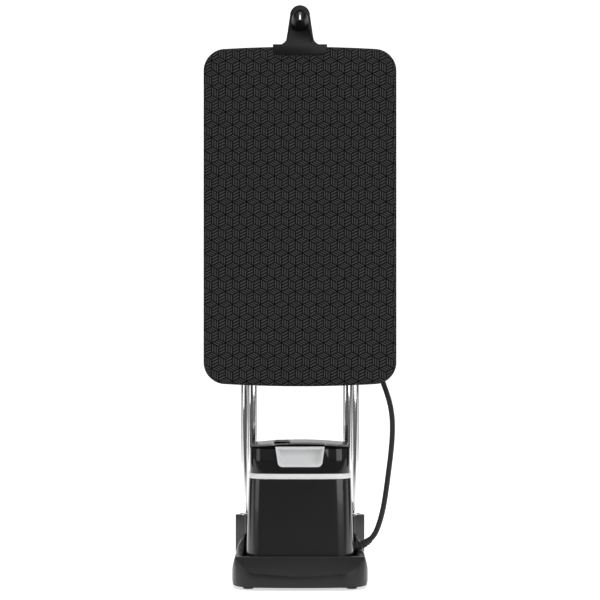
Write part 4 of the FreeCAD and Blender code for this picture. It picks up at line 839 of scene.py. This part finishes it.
ribs = dict(count=35, pitch=5.0 * mm, size=(1.3 * mm, 1.6 * mm, 15 * mm), middle=(0, -117.6 * mm, 241.0 * mm),
            bow=3.6 * mm, bowHalf=72 * mm, edge=0.4 * mm)


def makeTankRibs():
    deselect()
    bpy.ops.mesh.primitive_cube_add(size=1, location=ribs["middle"])
    rib = added("tankRibs")
    rib.scale = ribs["size"]
    settle(rib)
    modify(rib, "BEVEL", width=ribs["edge"], segments=2)
    modify(rib, "ARRAY", count=ribs["count"], use_relative_offset=False, use_constant_offset=True,
           constant_offset_displace=(ribs["pitch"], 0, 0))
    for vertex in rib.data.vertices:
        vertex.co.x -= ribs["pitch"] * (ribs["count"] - 1) / 2
        vertex.co.y += ribs["bow"] * (vertex.co.x / ribs["bowHalf"]) ** 2  # follows the wall's curve
    smoothed(rib)
    finishPiece(rib, "tank", finishes["satin_black"])
    print("tank ribs:", ribs["count"])


makeTankRibs()


# chromed collars where the tubes enter the sockets

collar = dict(inner=11.1 * mm, outer=13.2 * mm, low=123.6 * mm, high=127.4 * mm, x=114.4 * mm, y=78 * mm,
              edge=0.9 * mm)


def makeCollar(x):
    deselect()
    low, high = collar["low"], collar["high"]
    bpy.ops.mesh.primitive_cylinder_add(vertices=64, radius=collar["outer"], depth=high - low,
                                        location=(x, collar["y"], (high + low) / 2))
    ring = added("socketCollarRight" if x > 0 else "socketCollarLeft")
    settle(ring)
    selectFaces(ring, lambda face: abs(face.normal.z) > 0.9)
    bpy.ops.mesh.inset(thickness=collar["outer"] - collar["inner"])
    bpy.ops.mesh.bridge_edge_loops()
    outward(ring)
    modify(ring, "BEVEL", width=collar["edge"], segments=3, limit_method="ANGLE",
           angle_limit=math.radians(40))
    smoothed(ring)
    finishPiece(ring, "root", finishes["chrome_tube"])


makeCollar(collar["x"])
makeCollar(-collar["x"])
print("socket collars: 2")


# ribbed sleeve that guides the hose out of the housing

sleeve = dict(length=30 * mm, root=8.6 * mm, tip=6.7 * mm, ribs=5, ribHigh=0.45 * mm, step=0.5 * mm, sides=32,
              end=0.96)


def makeSleeve(name, line, body):
    travelled, part = 0.0, [line[0]]
    for a, b in zip(line, line[1:]):
        span = (b - a).length
        pieces = max(1, int(span / sleeve["step"]))
        for step in range(pieces):
            part.append(a + (b - a) * (step + 1) / pieces)
        travelled += span
        if travelled > sleeve["length"]:
            break
    long = sum((b - a).length for a, b in zip(part, part[1:]))

    def radius(along):
        share = along / long
        base = sleeve["root"] + (sleeve["tip"] - sleeve["root"]) * share
        if share >= sleeve["end"]:
            return base - 0.3 * mm
        wave = math.cos(2 * math.pi * sleeve["ribs"] * share)
        return base + sleeve["ribHigh"] * max(-0.6, min(0.8, wave * 1.6))

    piece = tubeAlong(name, part, radius, sleeve["sides"])
    finishPiece(piece, body, finishes["rubber_black"])
    print("hose sleeve: metres long", round(long, 3))


makeSleeve("hoseSleeve", [Vector(p) for p in hose["route"]][:5], "root")


# studio

studio = dict(floor=12.0, wall=7.0, fold=1.6, rear=4.5, drop=0.3 * mm, white=0.9, glow=0.62, dim=0.12,
              dimFrom=-0.28, dimTo=-0.62, world=0.2)  # metres and brightness


def makeStage():
    deselect()
    middleY = studio["rear"] - studio["floor"] / 2
    bpy.ops.mesh.primitive_plane_add(size=studio["floor"], location=(0, middleY, -studio["drop"]))
    sweep = added("studioSweep")
    settle(sweep)
    selectEdges(sweep, lambda edge: all(v.co.y > studio["rear"] - 0.01 for v in edge.verts))
    bpy.ops.mesh.extrude_region_move(TRANSFORM_OT_translate={"value": (0, 0, studio["wall"])})
    bpy.ops.object.mode_set(mode="OBJECT")
    modify(sweep, "BEVEL", width=studio["fold"], segments=16, limit_method="ANGLE",
           angle_limit=math.radians(40))
    smoothed(sweep, 60)
    material, tree, shader = newTree("paleSweep")
    place = put(tree, "ShaderNodeSeparateXYZ", {"Vector": objectPlace(tree)})
    near = ramp(tree, place.outputs["Y"], studio["dimTo"], studio["dimFrom"])  # the floor darkens in front
    wire(tree, mixed(tree, near, grey(studio["dim"]), grey(studio["white"])), shader, "Base Color")
    wire(tree, calc(tree, "MULTIPLY", near, studio["glow"]), shader, "Emission Strength")
    setShader(shader, Roughness=0.8, Emission_Color=grey(1.0), Specular_IOR_Level=0.1)
    sweep.data.materials.append(material)
    print("stage: sweep")


flags = dict(size=(1.5, 3.2), thick=6 * mm,
             places=((1.45, 0.9, 1.1, 68), (-1.45, 0.9, 1.1, -68)))  # x, y, z and turn in degrees


def makeFlags():
    # black cards beside the front view, which give the chrome its dark edges
    material, tree, shader = newTree("blackCard")
    setShader(shader, Base_Color=grey(0.01), Roughness=0.9, Specular_IOR_Level=0.05)
    for x, y, z, turn in flags["places"]:
        deselect()
        bpy.ops.mesh.primitive_plane_add(size=1, location=(x, y, z),
                                         rotation=(math.pi / 2, 0, math.radians(turn)))
        card = added("flagRight" if x > 0 else "flagLeft")
        card.scale = (flags["size"][0], flags["size"][1], 1)
        settle(card)
        modify(card, "SOLIDIFY", thickness=flags["thick"])
        card.data.materials.append(material)
    print("black cards:", len(flags["places"]))


def softBox(name, place, aim, size, radiance):
    lamp = bpy.data.lights.new(name, "AREA")
    lamp.shape = "RECTANGLE"
    lamp.size, lamp.size_y = size
    lamp.energy = radiance * math.pi * size[0] * size[1]
    lampObject = bpy.data.objects.new(name, lamp)
    lampObject.location = place
    lampObject.rotation_euler = (Vector(aim) - Vector(place)).to_track_quat("-Z", "Y").to_euler()
    bpy.context.collection.objects.link(lampObject)


softBoxes = {
    "frontRight": dict(place=(2.3, -3.0, 1.1), aim=(0, 0, 0.5), size=(2.8, 2.6), radiance=2.3),
    "leftSoft": dict(place=(-2.6, -1.7, 1.0), aim=(0, 0, 0.5), size=(1.5, 2.4), radiance=1.5),
    "overhead": dict(place=(0, 0.3, 3.6), aim=(0, 0.2, 0), size=(3.4, 3.4), radiance=1.3),
    "frontHigh": dict(place=(0, -3.4, 2.9), aim=(0, 0, 0.4), size=(2.6, 1.2), radiance=3.0),
}


def lightStudio():
    world = bpy.data.worlds.new("studio")
    bpy.context.scene.world = world
    world.use_nodes = True
    background = next(n for n in world.node_tree.nodes if n.type == "BACKGROUND")
    background.inputs["Color"].default_value = grey(1.0)
    background.inputs["Strength"].default_value = studio["world"]
    for name, values in softBoxes.items():
        softBox(name, **values)
    print("lights:", len(softBoxes))


makeStage()
makeFlags()
lightStudio()
bpy.context.scene.view_settings.view_transform = "Standard"
